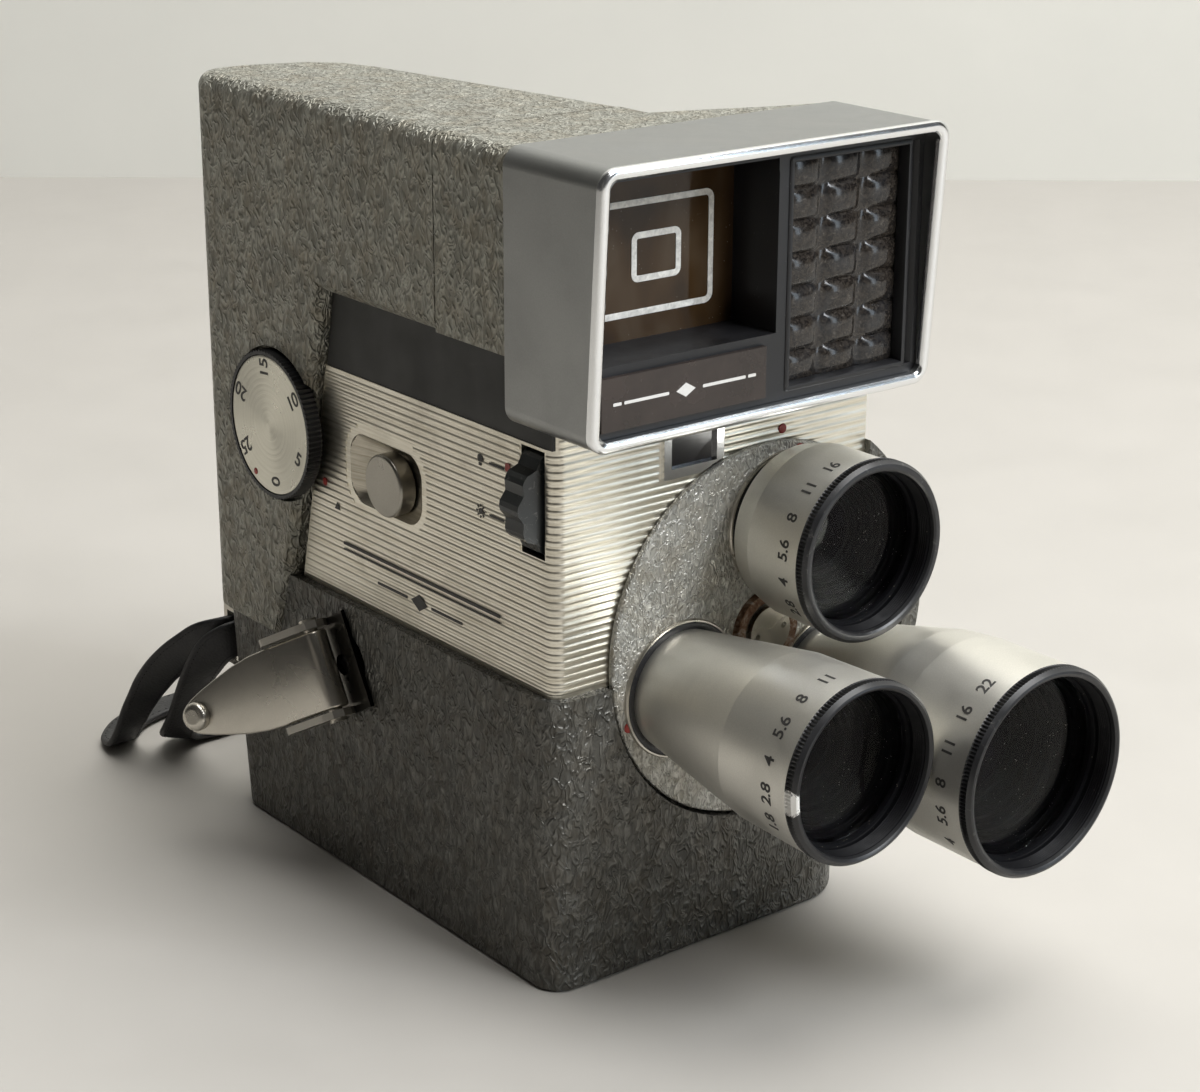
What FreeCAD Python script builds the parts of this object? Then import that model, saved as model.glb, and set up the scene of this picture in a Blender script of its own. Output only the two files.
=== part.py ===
import FreeCAD, Part
import math
import os

V = FreeCAD.Vector

# A spring-wound 8 mm cine camera with a three-lens turret and a light-cell hood.
# All lengths are millimetres. The datum is the corner where the plane of the left trim plate (x = 0),
# the plane of the front trim plate (y = 0) and the base (z = 0) meet. x runs to the film door, y to the
# rear and z up. write() moves every piece so that the origin is the mouth of the tripod socket.
SOCKET = V(32.9, 50.0, 0.0)

# Body
WIDTH = 65.8
LIP = 1.7  # the lower body stands proud of the trim plate
LOWER_REAR = 100.0  # rear of the film chamber
FOOT_REAR = 98.0  # the lower body leans back from here at the base
SEAM_REAR = 103.2  # to here at its top
CHAMBER_REAR = 96.4
LOWER_TOP = 51.5
BAND_BOTTOM = 92.5
BAND_TOP = 106.2
PLATE_REAR_LOW = 73.8  # the trim plate's slanted rear edge, at the seam of the lower body
PLATE_REAR_TOP = 64.1  # and at the foot of the black band
ROOF = 118.0  # top of the film chamber
TOP = 138.0
SHEET = 1.0  # trim plate and black band
WALL = 3.0
CORNER = 5.0
REAR_CORNER = 7.0  # lower body, left rear
FRONT_CORNER = 11.0  # lower body, right front
BASE_EDGE = 1.0
FRONT_INSIDE = 3.6

# Viewfinder housing: a shell standing proud on the left and at the rear
HOUSING_LEFT = -2.5
HOUSING_GAP = 0.3  # the seam between the viewfinder housing and the front cap
REAR_LEFT = 6.0  # radius of the upright corner at the left rear
TOP_EDGE = 2.6
HOUSING_REAR = 103.3
HOUSING_RIGHT = 36.5
HOUSING_FRONT = 27.6
HOUSING_FLOOR = 38.0
HOUSING_EDGE = [(61.5, BAND_TOP), (65.9, 88.8), (75.2, LOWER_TOP), (79.6, HOUSING_FLOOR)]

# Hood
HOOD_LEFT = -3.2
HOOD_RIGHT = 66.2
HOOD_BOTTOM = 95.6
HOOD_TOP = 138.5
HOOD_REAR = 8.0
HOOD_FRONT_TOP = -15.7
HOOD_FRONT_BOTTOM = -13.0
HOOD_WALL = 1.6
FINDER_X = 18.6  # optical axis of the viewfinder
FINDER_HALF = 15.4
FINDER_BOTTOM = 108.4
FINDER_TOP = 133.6
FINDER_Z = 121.0
EYEPIECE = (11.0, FINDER_Z)
EYEPIECE_RADII = (5.4, 8.4, 6.38)  # bore, rim and the neck that enters the housing
CELL_LEFT, CELL_RIGHT = 36.3, 61.7
CELL_BOTTOM, CELL_TOP = 98.9, 135.2
CELL_COLUMNS, CELL_ROWS = 3, 7
CELL_JOINT = 0.3  # half the groove between two domes

# Turret and lenses: (name, angle on the turret in degrees, barrel outline [y, radius], front of its ring)
TURRET = (42.9, 54.2)
TURRET_RADIUS = 32.2
TURRET_FACE = -1.3
TURRET_STEP = -0.3  # behind its flange the disc is narrower, to enter the plate
TURRET_NECK = 30.9
TURRET_BACK = 1.2
TURRET_SPINDLE = 2.5
PIN_FIT = 0.05  # radial play of a shaft in its hole
RECESS_RADIUS = 32.8
PLATE_HOLE = 31.4
BOSS_RADIUS = 36.5
LENS_CIRCLE = 18.9
MOUNT_RADIUS = 7.9
MOUNT_SHOULDER = 8.5
# The funnel inside each barrel narrows to this y and radius.
LENS_STOP = {"normal": (-10.0, 5.8), "wide": (-30.0, 5.8), "tele": (-36.0, 8.5)}
BARREL_WALL = 0.9
TUBE_WALL = 0.6  # of the black tube that holds the glass
GLASS_BACK = 6.6  # from the front of the ring
GLASS_EDGE = 5.3
GLASS_BULGE = 1.3
LENSES = [
    ("normal", 79.2, [(-1.5, 10.4), (-4.6, 13.5), (-9.0, 14.6), (-20.8, 14.6)], -23.1, 15.1),
    ("wide", 199.2, [(-1.5, 10.2), (-20.0, 13.1), (-27.0, 14.2), (-42.6, 14.7)], -44.9, 14.8),
    ("tele", 319.2, [(-1.5, 10.2), (-12.0, 12.8), (-28.0, 16.6), (-34.0, 17.2), (-50.0, 17.3)], -52.3, 17.5),
]

# Left side controls
WINDOW = (21.3, 33.7, 84.0, 95.4)  # exposure window: x and z limits
WINDOW_GLASS = (22.8, 32.2, 85.6, 94.2)
DIAL = (77.4, 79.3)
DIAL_FACE = -3.8
DIAL_RADIUS = 12.5
DIAL_RIM = 13.3
BUTTON = (44.8, 76.0)
BUTTON_RADIUS = 5.4
BUTTON_TRAVEL = 2.6
DISH = (35.0, 58.0, 69.5, 83.5)
DISH_DEPTH = 1.8
WHEEL = (4.0, 83.2)  # x and z of the filter wheel's axis, which runs along y
WHEEL_RADIUS = 8.8
WHEEL_FRONT, WHEEL_REAR = 2.8, 7.6
WHEEL_LOBES = 11

# Winding key, on an axis along x
KEY = (57.5, 40.2)
KEY_RECESS = 5.6
KEY_TILT = 30.4  # the hinge pin leans this many degrees from vertical, towards the rear
KEY_GAP = 14.9  # between the two ears
EAR = 1.3
SHAFT_RADIUS = 1.88
PIN_OUT = 5.9  # the hinge pin's distance from the x = 0 plane
PIN_ALONG = 1.5
PIN_RADIUS = 1.2
BRIDGE_OUT = (2.0, 2.8)  # the plate that joins the ears
LEAF_ANGLE = 27.0
LEAF_LENGTH = 29.5
LEAF_THICK = 1.3
LEAF_ROLL = 2.8  # the rolled end round the hinge pin
LEAF_LIFT = LEAF_ROLL - LEAF_THICK

# Film path and mechanism
PLATE_X = (35.6, 37.2)  # mechanism plate
FILM_X = (38.4, 54.4)
GATE_Y = 10.8  # film plane
APERTURE = (46.4, 72.8)
SHUTTER = (30.5, 62.0)
SHUTTER_RADIUS = 21.5
SPOOL_RADIUS = 25.4
SPOOL_X = (39.2, 57.6)
SUPPLY = (70.0, 84.3)
TAKE_UP = (70.0, 31.9)
DRUM_RADIUS = 23.0
DRUM_X = (9.0, 22.0)
GEAR_MODULE = 0.6
GREAT_TEETH = 76
PINION_TEETH = 14
INTERMEDIATE = (KEY[0] - GEAR_MODULE * (GREAT_TEETH + PINION_TEETH) / 2, KEY[1])
SKEW_MODULE = 0.8
SKEW_TEETH = 40
SKEW_WHEEL_RADIUS = SKEW_MODULE * (SKEW_TEETH / 2 + 0.7)
DOOR_INSIDE = WIDTH - 3.0
DOOR_REAR = 96.0
LATCH = (50.0, 60.0)
SCREWS = [(6.0, 12.0), (57.0, 14.0), (10.0, 90.0), (57.0, 91.0)]  # under the base
SCREW_DEPTH = 7.2
SCREW_HOLE = 1.25
SCREW_SEAT = 1.05
SCREW_HEAD_HOLE = 2.25


# ---------------------------------------------------------------- helpers

def box(x0, x1, y0, y1, z0, z1):
    return Part.makeBox(x1 - x0, y1 - y0, z1 - z0, V(x0, y0, z0))


def cyl_x(x0, x1, centre, radius):
    return Part.makeCylinder(radius, x1 - x0, V(x0, centre[0], centre[1]), V(1, 0, 0))


def cyl_y(y0, y1, centre, radius):
    return Part.makeCylinder(radius, y1 - y0, V(centre[0], y0, centre[1]), V(0, 1, 0))


def cyl_z(z0, z1, centre, radius):
    return Part.makeCylinder(radius, z1 - z0, V(centre[0], centre[1], z0), V(0, 0, 1))


def prism(points, along):
    """A closed outline of points pushed along a vector."""
    wire = Part.makePolygon(points + [points[0]])
    return Part.Face(wire).extrude(along)


def prism_x(outline, x0, x1):
    return prism([V(x0, y, z) for y, z in outline], V(x1 - x0, 0, 0))


def prism_z(outline, z0, z1):
    return prism([V(x, y, z0) for x, y in outline], V(0, 0, z1 - z0))


def turned(profile, centre):
    """A solid of revolution about an axis along y. profile is a closed list of (y, radius)."""
    points = [V(centre[0] + radius, y, centre[1]) for y, radius in profile]
    face = Part.Face(Part.makePolygon(points + [points[0]]))
    return face.revolve(V(centre[0], 0, centre[1]), V(0, 1, 0), 360)


def rounded(shape, radius, wanted):
    """Fillet the edges for which wanted(edge) is true."""
    edges = [edge for edge in shape.Edges if wanted(edge)]
    return shape.makeFillet(radius, edges)


def spans(edge, axis):
    """True for a straight edge along one axis."""
    size = [edge.BoundBox.XLength, edge.BoundBox.YLength, edge.BoundBox.ZLength]
    return size[axis] > 0.5 and sum(size) - size[axis] < 0.01


def near(edge, axis, value):
    """True for an edge that lies wholly at value on an axis."""
    low = [edge.BoundBox.XMin, edge.BoundBox.YMin, edge.BoundBox.ZMin][axis]
    high = [edge.BoundBox.XMax, edge.BoundBox.YMax, edge.BoundBox.ZMax][axis]
    return abs(low - value) < 0.02 and abs(high - value) < 0.02


def joined(shapes):
    whole = shapes[0].fuse(shapes[1:])
    return whole.removeSplitter()


def group(shapes):
    return Part.makeCompound(shapes)


def on_circle(centre, radius, degrees):
    turn = math.radians(degrees)
    return (centre[0] + radius * math.cos(turn), centre[1] + radius * math.sin(turn))


def gear_x(x0, x1, centre, module, teeth, phase):
    """A spur gear on an axis along x, with straight-sided teeth cut a little slack."""
    pitch = module * teeth / 2
    outline = []
    for tooth in range(teeth):
        for share, reach in ((-0.36, -1.2), (-0.13, 0.7), (0.13, 0.7), (0.36, -1.2)):
            turn = (tooth + share + phase) * 360.0 / teeth
            outline.append(on_circle(centre, pitch + reach * module, turn))
    return prism_x(outline, x0, x1)


def knurled(y0, y1, centre, radius, ridges, depth):
    """A ring blank on an axis along y with shallow straight ridges round it."""
    outline = []
    for ridge in range(ridges):
        for share, reach in ((0.0, radius), (0.5, radius - depth)):
            x, z = on_circle(centre, reach, (ridge + share) * 360.0 / ridges)
            outline.append(V(x, y0, z))
    return prism(outline, V(0, y1 - y0, 0))


def lens_centre(degrees):
    return on_circle(TURRET, LENS_CIRCLE, degrees)


# ---------------------------------------------------------------- body shells

def body_block():
    """The outside of the main casting, as a solid."""
    side = [(-LIP, 0), (FOOT_REAR, 0), (SEAM_REAR, LOWER_TOP), (-LIP, LOWER_TOP)]
    lower = prism_x(side, -LIP, WIDTH)
    lower = rounded(lower, CORNER, lambda e: spans(e, 2) and near(e, 1, -LIP) and near(e, 0, -LIP))
    lower = rounded(lower, 3.0, lambda e: is_rear_upright(e) and near(e, 0, WIDTH))
    lower = rounded(lower, REAR_CORNER, lambda e: is_rear_upright(e) and near(e, 0, -LIP))
    lower = rounded(lower, FRONT_CORNER, is_right_front)
    lower = rounded(lower, BASE_EDGE, lambda e: near(e, 2, 0))
    middle = box(SHEET, WIDTH, SHEET, LOWER_REAR, LOWER_TOP, HOOD_BOTTOM)
    behind_hood = box(SHEET, WIDTH, HOOD_REAR, LOWER_REAR, HOOD_BOTTOM, BAND_TOP)
    roof = box(HOUSING_RIGHT, WIDTH, 24.0, LOWER_REAR, BAND_TOP, ROOF)
    boss = cyl_y(0.4 - LIP, 10.0, TURRET, BOSS_RADIUS)
    boss = boss.common(box(WIDTH, 90.0, -5.0, 30.0, 8.0, 100.0))
    low_boss = cyl_y(0.4 - LIP, 10.0, TURRET, BOSS_RADIUS)
    low_boss = low_boss.common(box(44.0, 90.0, -5.0, 30.0, 8.0, LOWER_TOP - 1))
    return joined([lower, middle, behind_hood, roof, boss, low_boss])


def is_rear_upright(edge):
    return edge.BoundBox.YMin > 90 and edge.BoundBox.ZLength > LOWER_TOP - 1 and edge.BoundBox.XLength < 0.01


def is_right_front(edge):
    return spans(edge, 2) and near(edge, 0, WIDTH) and edge.BoundBox.YMin < 0


def button_slot():
    reach = 1.9
    front = BUTTON[0] - reach - BUTTON_TRAVEL
    return box(-5, 10, front, BUTTON[0] + reach, BUTTON[1] - reach, BUTTON[1] + reach)


def screw_holes():
    holes = [cyl_z(-1, SCREW_DEPTH, place, SCREW_HOLE) for place in SCREWS]
    return holes + [cyl_z(-1, SCREW_SEAT, place, SCREW_HEAD_HOLE) for place in SCREWS]


def main_casting():
    """The body: a hollow shell, open on the right where the film door fits."""
    inside = box(WALL, DOOR_INSIDE, FRONT_INSIDE, CHAMBER_REAR, 4.0, BAND_TOP - 2.5)
    inside = inside.cut(box(0, 100, -5, HOOD_REAR + WALL, HOOD_BOTTOM - 3, 200))
    roof_inside = box(HOUSING_RIGHT + 2, DOOR_INSIDE, 27.0, CHAMBER_REAR, 90.0, ROOF - 2.5)
    opening = box(DOOR_INSIDE, 100, 11.0, DOOR_REAR + 0.4, 3.0, BAND_TOP - 1.2)
    opening_top = box(DOOR_INSIDE, 100, 26.0, DOOR_REAR + 0.4, 80.0, ROOF - 1.4)
    shell = body_block().cut([inside, roof_inside, opening, opening_top])
    bracket = box(2.0, 8.0, 9.2, 14.0, 80.4, 86.0)
    shell = shell.fuse(bracket)
    return shell.cut([
        cyl_y(-10, TURRET_BACK + 0.4, TURRET, RECESS_RADIUS),
        cyl_y(-5, 10, APERTURE, 7.0),
        cyl_y(-5, 10, TURRET, TURRET_SPINDLE),
        cyl_x(-5, 10, KEY, 1.95),
        cyl_x(-5, 1.6, KEY, KEY_RECESS),
        cyl_x(-5, 10, DIAL, 2.06),
        cyl_z(-5, 10, (SOCKET.x, SOCKET.y), 5.0),
        box(-5, WALL, DISH[0] - 1.5, DISH[1] + 1.5, DISH[2] - 1.5, DISH[3] + 1.5),
        box(-7, WALL, 2.1, 8.3, WHEEL[1] - 10.2, BAND_BOTTOM - 0.2),
        box(WALL - 0.1, WHEEL[0] + WHEEL_RADIUS + 1, 2.1, 8.3, WHEEL[1] - 10.2, BAND_BOTTOM - 0.2),
        cyl_y(8, 20, WHEEL, 1.25),
        box(1.4, 14.4, LOWER_REAR, 120, 23.0, 37.0),
        box(22.0, 33.0, -5, 10, 85.2, 94.2),
    ] + screw_holes())


def housing_outline():
    return [(HOUSING_FRONT, BAND_TOP)] + HOUSING_EDGE + [
        (HOUSING_REAR, HOUSING_FLOOR),
        (HOUSING_REAR, TOP),
        (HOUSING_FRONT, TOP),
    ]


def housing_plan():
    """The housing seen from above: it narrows towards the rear and is round at its right rear."""
    return [
        (HOUSING_LEFT, 0.0),
        (HOUSING_RIGHT, 0.0),
        (HOUSING_RIGHT, 22.0),
        (34.1, 43.0),
        (29.5, 75.0),
        (28.0, 86.0),
        (25.6, 94.0),
        (20.0, 99.6),
        (9.0, HOUSING_REAR),
        (HOUSING_LEFT, HOUSING_REAR),
    ]


def is_left_rear(edge):
    return near(edge, 0, HOUSING_LEFT) and near(edge, 1, HOUSING_REAR)


def viewfinder_housing():
    block = prism_x(housing_outline(), HOUSING_LEFT, HOUSING_RIGHT)
    block = block.common(prism_z(housing_plan(), 0, 200))
    block = rounded(block, REAR_LEFT, lambda e: spans(e, 2) and is_left_rear(e))
    block = rounded(block, TOP_EDGE, lambda e: near(e, 2, TOP) and not near(e, 1, HOUSING_FRONT))
    step = [e for e in block.Edges if near(e, 0, HOUSING_LEFT) and e.BoundBox.ZMax < BAND_TOP + 0.1]
    block = block.makeChamfer(1.4, [e for e in step if e.Length > 5])
    body = box(SHEET, 100, 0, LOWER_REAR, 0, BAND_TOP)
    below = prism_x([(0, 0), (FOOT_REAR, 0), (SEAM_REAR, LOWER_TOP), (0, LOWER_TOP)], -LIP, 100)
    tunnel = prism_z([
        (0.0, HOUSING_FRONT - 5),
        (33.6, HOUSING_FRONT - 5),
        (26.0, 84.0),
        (22.0, 94.0),
        (14.0, 99.0),
        (0.0, 100.0),
    ], BAND_TOP + 2.4, TOP - 2.6)
    eyepiece = cyl_y(90, 120, EYEPIECE, 6.4)
    dial = cyl_x(HOUSING_LEFT - 5, -0.9, DIAL, DIAL_RIM + 0.6)
    spindle = cyl_x(-5, 5, DIAL, 2.06)
    return block.cut([body, below, tunnel, eyepiece, dial, spindle])


def front_cap():
    plan = [
        (HOUSING_LEFT, HOOD_REAR),
        (WIDTH, HOOD_REAR),
        (WIDTH, 11.5),
        (54.0, 15.0),
        (44.0, 19.0),
        (HOUSING_RIGHT, 21.6),
        (HOUSING_RIGHT, HOUSING_FRONT - HOUSING_GAP),
        (HOUSING_LEFT, HOUSING_FRONT - HOUSING_GAP),
    ]
    cap = prism_z(plan, BAND_TOP, TOP)
    seam = HOUSING_FRONT - HOUSING_GAP
    seams = (HOOD_REAR, seam)
    cap = rounded(cap, TOP_EDGE, lambda e: near(e, 2, TOP) and not any(near(e, 1, y) for y in seams))
    finder = box(0.0, HOUSING_RIGHT - 2.9, 0, 40, BAND_TOP + 2.4, TOP - 2.6)
    behind_cell = box(HOUSING_RIGHT + 1, WIDTH - 4, 0, 11.0, BAND_TOP + 2.4, TOP - 3)
    return cap.cut([finder, behind_cell])


def trim_plate():
    """One sheet folded round the left front corner, with a pressed dish for the start button."""
    side = [(0, LOWER_TOP), (PLATE_REAR_LOW, LOWER_TOP), (PLATE_REAR_TOP, BAND_BOTTOM), (0, BAND_BOTTOM)]
    left = prism_x(side, 0, 20)
    outer = left.fuse(box(0, WIDTH, 0, 20, LOWER_TOP, HOOD_BOTTOM)).removeSplitter()
    outer = rounded(outer, 2.2, lambda e: spans(e, 2) and near(e, 0, 0) and near(e, 1, 0))
    plate = outer.cut([
        box(SHEET, 100, SHEET, 100, 0, 200),
        box(-1, SHEET + 0.1, 0.5, 100, BAND_BOTTOM, 200),
        cyl_y(-5, 5, TURRET, PLATE_HOLE),
        box(-1, 2, 2.2, 8.2, WHEEL[1] - 8.8, WHEEL[1] + 8.8),
        box(WINDOW[0], WINDOW[1], -1, 5, WINDOW[2], WINDOW[3]),
        box(-1, 2, DISH[0], DISH[1], DISH[2], DISH[3]),
    ])
    pan = box(0, DISH_DEPTH + 0.8, DISH[0], DISH[1], DISH[2], DISH[3])
    pan = rounded(pan, 5.0, lambda e: spans(e, 0))
    hollow = box(-1, DISH_DEPTH, DISH[0] + 0.8, DISH[1] - 0.8, DISH[2] + 0.8, DISH[3] - 0.8)
    hollow = rounded(hollow, 4.2, lambda e: spans(e, 0))
    frame = box(0, SHEET, DISH[0], DISH[1], DISH[2], DISH[3])
    return joined([plate, pan, frame]).cut([hollow, button_slot()])


def black_band():
    start = HOOD_REAR + 0.1
    outline = [(start, BAND_BOTTOM), (PLATE_REAR_TOP, BAND_BOTTOM), (61.4, BAND_TOP), (start, BAND_TOP)]
    band = prism_x(outline, 0.2, SHEET)
    front = box(0.2, SHEET, 0.6, start, BAND_BOTTOM, HOOD_BOTTOM)
    return joined([band, front])


# ---------------------------------------------------------------- hood

def hood_block(inset):
    outline = [
        (HOOD_REAR, HOOD_BOTTOM + inset),
        (HOOD_REAR, HOOD_TOP - inset),
        (HOOD_FRONT_TOP, HOOD_TOP - inset),
        (HOOD_FRONT_BOTTOM, HOOD_BOTTOM + inset),
    ]
    block = prism_x(outline, HOOD_LEFT + inset, HOOD_RIGHT - inset)
    along = [e for e in block.Edges if e.BoundBox.YLength > 15 and e.BoundBox.XLength < 0.01]
    return block.makeFillet(3.0 - inset * 0.6, along)


def hood():
    shell = hood_block(0.0)
    hollow = hood_block(HOOD_WALL)
    slab = box(-50, 100, -60, HOOD_REAR + 1, 0, 200)
    hollow = hollow.fuse(hollow.translated(V(0, -6, 0))).common(slab)
    return shell.cut(hollow)


def hood_insert():
    """The black moulding inside the hood, with the finder tunnel and the light cell's well."""
    block = hood_block(HOOD_WALL + 0.05)
    block = block.cut(box(-50, 100, -60, -12.0, 0, 200))
    finder = box(FINDER_X - FINDER_HALF, FINDER_X + FINDER_HALF, -60, 60, FINDER_BOTTOM, FINDER_TOP)
    mouth = box(HOOD_LEFT + HOOD_WALL + 0.8, 33.9, -60, -1.6, FINDER_BOTTOM, FINDER_TOP + 2)
    cell = box(CELL_LEFT, CELL_RIGHT, -60, -2.4, CELL_BOTTOM, CELL_TOP)
    slope = [(CELL_RIGHT - 1, -10.0), (CELL_RIGHT, -10.0), (64.0, -12.5), (CELL_RIGHT - 1, -12.5)]
    right = prism_z(slope, CELL_BOTTOM, CELL_TOP)
    return block.cut([finder, mouth, cell, right])


def name_panel():
    return box(-0.9, 31.4, -12.9, -12.0, 98.7, 106.9)


def finder_window():
    return box(FINDER_X - FINDER_HALF, FINDER_X + FINDER_HALF, -1.5, 0.3, FINDER_BOTTOM, FINDER_TOP)


def meter_lens():
    """A clear plate with a dome on each of its cells."""
    plate = box(CELL_LEFT, CELL_RIGHT, -9.6, -7.6, CELL_BOTTOM, CELL_TOP)
    wide = (CELL_RIGHT - CELL_LEFT) / CELL_COLUMNS
    tall = (CELL_TOP - CELL_BOTTOM) / CELL_ROWS
    domes = []
    for column in range(CELL_COLUMNS):
        for row in range(CELL_ROWS):
            x = CELL_LEFT + wide * (column + 0.5)
            z = CELL_BOTTOM + tall * (row + 0.5)
            out, up = wide / 2 - CELL_JOINT, tall / 2 - CELL_JOINT
            pad = box(x - out, x + out, -10.8, -9.6, z - up, z + up)
            domes.append(pad.makeChamfer(0.9, [e for e in pad.Edges if near(e, 1, -10.8)]))
    return joined([plate] + domes)


def selenium_cell():
    return box(CELL_LEFT + 0.4, CELL_RIGHT - 0.4, -4.0, -2.4, CELL_BOTTOM + 0.4, CELL_TOP - 0.4)


def exposure_window_frame():
    frame = box(WINDOW[0], WINDOW[1], -0.8, SHEET, WINDOW[2], WINDOW[3])
    x0, x1, z0, z1 = WINDOW_GLASS
    frame = frame.cut([box(x0, x1, -5, 5, z0, z1), cyl_y(-5, 5, TURRET, RECESS_RADIUS)])
    return frame


def exposure_window_glass():
    x0, x1, z0, z1 = WINDOW_GLASS
    return box(x0, x1, -0.1, 0.9, z0, z1)


# ---------------------------------------------------------------- rear, base and door

def film_door():
    """The right side's cover: a panel, and a skirt that enters the film chamber."""
    lower = box(DOOR_INSIDE + 0.05, WIDTH, 11.4, DOOR_REAR, 3.4, BAND_TOP - 1.6)
    upper = box(DOOR_INSIDE + 0.05, WIDTH, 26.4, DOOR_REAR, 90.0, ROOF - 1.8)
    panel = rounded(joined([lower, upper]), 3.0, lambda e: spans(e, 0) and not is_inner_corner(e))
    panel = panel.common(body_block())
    skirt = box(DOOR_INSIDE - 1.2, DOOR_INSIDE + 0.05, 28.0, CHAMBER_REAR - 0.5, 5.4, 100.0)
    skirt = skirt.cut(box(0, 100, 30.0, CHAMBER_REAR - 2.5, 7.4, 98.0))
    return joined([panel, skirt]).cut(cyl_x(50, 80, LATCH, 3.06))


def is_inner_corner(edge):
    return near(edge, 1, 26.4) and near(edge, 2, BAND_TOP - 1.6)


def door_latch():
    """A turning knob outside, and a tongue inside the door."""
    knob = cyl_x(WIDTH + 0.3, WIDTH + 2.6, LATCH, 8.5)
    grip = box(WIDTH + 2.6, WIDTH + 5.2, LATCH[0] - 1.2, LATCH[0] + 1.2, LATCH[1] - 7.4, LATCH[1] + 7.4)
    stem = cyl_x(WIDTH - 6.0, WIDTH + 0.3, LATCH, 3.0)
    tongue = box(WIDTH - 6.0, WIDTH - 4.6, LATCH[0] - 2.5, LATCH[0] + 2.5, LATCH[1] - 9, LATCH[1] + 9)
    return joined([knob, grip, stem, tongue])


def eyepiece_ring():
    back = HOUSING_REAR
    inner, outer, neck = EYEPIECE_RADII
    profile = [(back - 4.0, inner), (back + 1.8, inner), (back + 1.8, outer), (back + 0.02, outer)]
    return turned(profile + [(back + 0.02, neck), (back - 4.0, neck)], EYEPIECE)


def eyepiece_lens():
    return cyl_y(HOUSING_REAR - 2.6, HOUSING_REAR - 0.2, EYEPIECE, EYEPIECE_RADII[0])


def tripod_bush():
    bush = cyl_z(0.0, 9.5, (SOCKET.x, SOCKET.y), 5.0)
    flange = cyl_z(4.0, 6.0, (SOCKET.x, SOCKET.y), 8.0)
    return joined([bush, flange]).cut(cyl_z(-1, 8.0, (SOCKET.x, SOCKET.y), 3.2))


def strap_lug():
    """A bent strip screwed to the rear, with a loop for the strap."""
    base = box(2.4, 13.4, LOWER_REAR, LOWER_REAR + 1.2, 24.0, 36.0)
    loop = box(2.4, 4.0, LOWER_REAR, LOWER_REAR + 7.4, 24.0, 36.0)
    loop = loop.cut(box(0, 9, LOWER_REAR + 1.2, LOWER_REAR + 6.2, 25.2, 34.8))
    return joined([base, loop])


# The strap's route as (x, y, z) at the middle of the band, and the direction across the band there.
STRAP_WIDTH = 7.2
STRAP_THICK = 1.6
STRAP_ROUTE = [
    ((6.0, 105.0, 30.4), (0.0, 0.0, 1.0)),
    ((3.0, 105.0, 30.4), (0.0, 0.0, 1.0)),
    ((0.4, 106.0, 30.0), (-0.05, 0.0, 1.0)),
    ((-1.7, 108.8, 28.7), (-0.15, 0.1, 1.0)),
    ((-2.9, 111.8, 26.5), (-0.3, 0.1, 0.95)),
    ((-4.2, 115.2, 23.8), (-0.45, 0.05, 0.88)),
    ((-5.3, 118.8, 20.4), (-0.6, 0.0, 0.8)),
    ((-6.1, 121.8, 16.9), (-0.7, 0.0, 0.65)),
    ((-6.7, 124.2, 13.5), (-0.8, -0.1, 0.5)),
    ((-7.5, 126.4, 9.8), (-0.88, -0.15, 0.35)),
    ((-8.4, 128.2, 5.8), (-0.95, -0.2, 0.15)),
    ((-8.7, 130.6, 2.6), (-0.98, -0.1, 0.0)),
    ((-7.2, 135.2, 1.2), (-0.9, 0.4, 0.0)),
    ((-1.6, 140.4, 1.1), (-0.6, 0.8, 0.0)),
    ((7.0, 143.2, 1.1), (-0.2, 0.98, 0.0)),
    ((18.0, 143.4, 1.1), (0.2, 0.98, 0.0)),
    ((26.0, 139.2, 1.1), (0.85, 0.5, 0.0)),
    ((26.6, 131.8, 1.1), (0.9, -0.4, 0.0)),
    ((19.6, 127.8, 1.1), (0.2, -0.98, 0.0)),
    ((11.4, 127.4, 1.1), (0.0, -1.0, 0.0)),
    ((4.4, 127.0, 1.6), (0.25, -0.97, 0.0)),
    ((0.4, 124.6, 3.2), (0.75, -0.65, 0.0)),
    ((-1.1, 121.0, 6.4), (0.93, -0.35, 0.0)),
    ((-1.6, 117.6, 10.6), (0.97, -0.2, 0.0)),
    ((-2.0, 114.2, 15.6), (0.97, -0.1, -0.1)),
    ((-2.1, 111.2, 20.0), (0.9, 0.0, -0.35)),
    ((-1.9, 108.0, 24.2), (0.7, 0.0, -0.7)),
    ((-1.3, 105.4, 27.4), (0.4, 0.0, -0.9)),
    ((0.2, 103.4, 29.4), (0.15, 0.0, -1.0)),
    ((3.0, 102.6, 30.2), (0.0, 0.0, -1.0)),
    ((6.0, 102.6, 30.2), (0.0, 0.0, -1.0)),
]


def strap_section(index):
    """The band's rectangular outline at one point of its route."""
    place = V(*STRAP_ROUTE[index][0])
    before = V(*STRAP_ROUTE[max(index - 1, 0)][0])
    after = V(*STRAP_ROUTE[min(index + 1, len(STRAP_ROUTE) - 1)][0])
    forward = (after - before).normalize()
    across = V(*STRAP_ROUTE[index][1])
    across = (across - forward * across.dot(forward)).normalize()
    face = forward.cross(across)
    corners = []
    for wide, thick in ((-0.5, -0.5), (0.5, -0.5), (0.5, 0.5), (-0.5, 0.5)):
        corners.append(place + across * (wide * STRAP_WIDTH) + face * (thick * STRAP_THICK))
    return Part.makePolygon(corners + [corners[0]])


def wrist_strap():
    sections = [strap_section(index) for index in range(len(STRAP_ROUTE))]
    band = Part.makeLoft(sections, True, False)
    sewn_end = box(5.2, 7.0, 101.8, 105.8, 27.2, 33.4)
    return joined([band, sewn_end])


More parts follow.
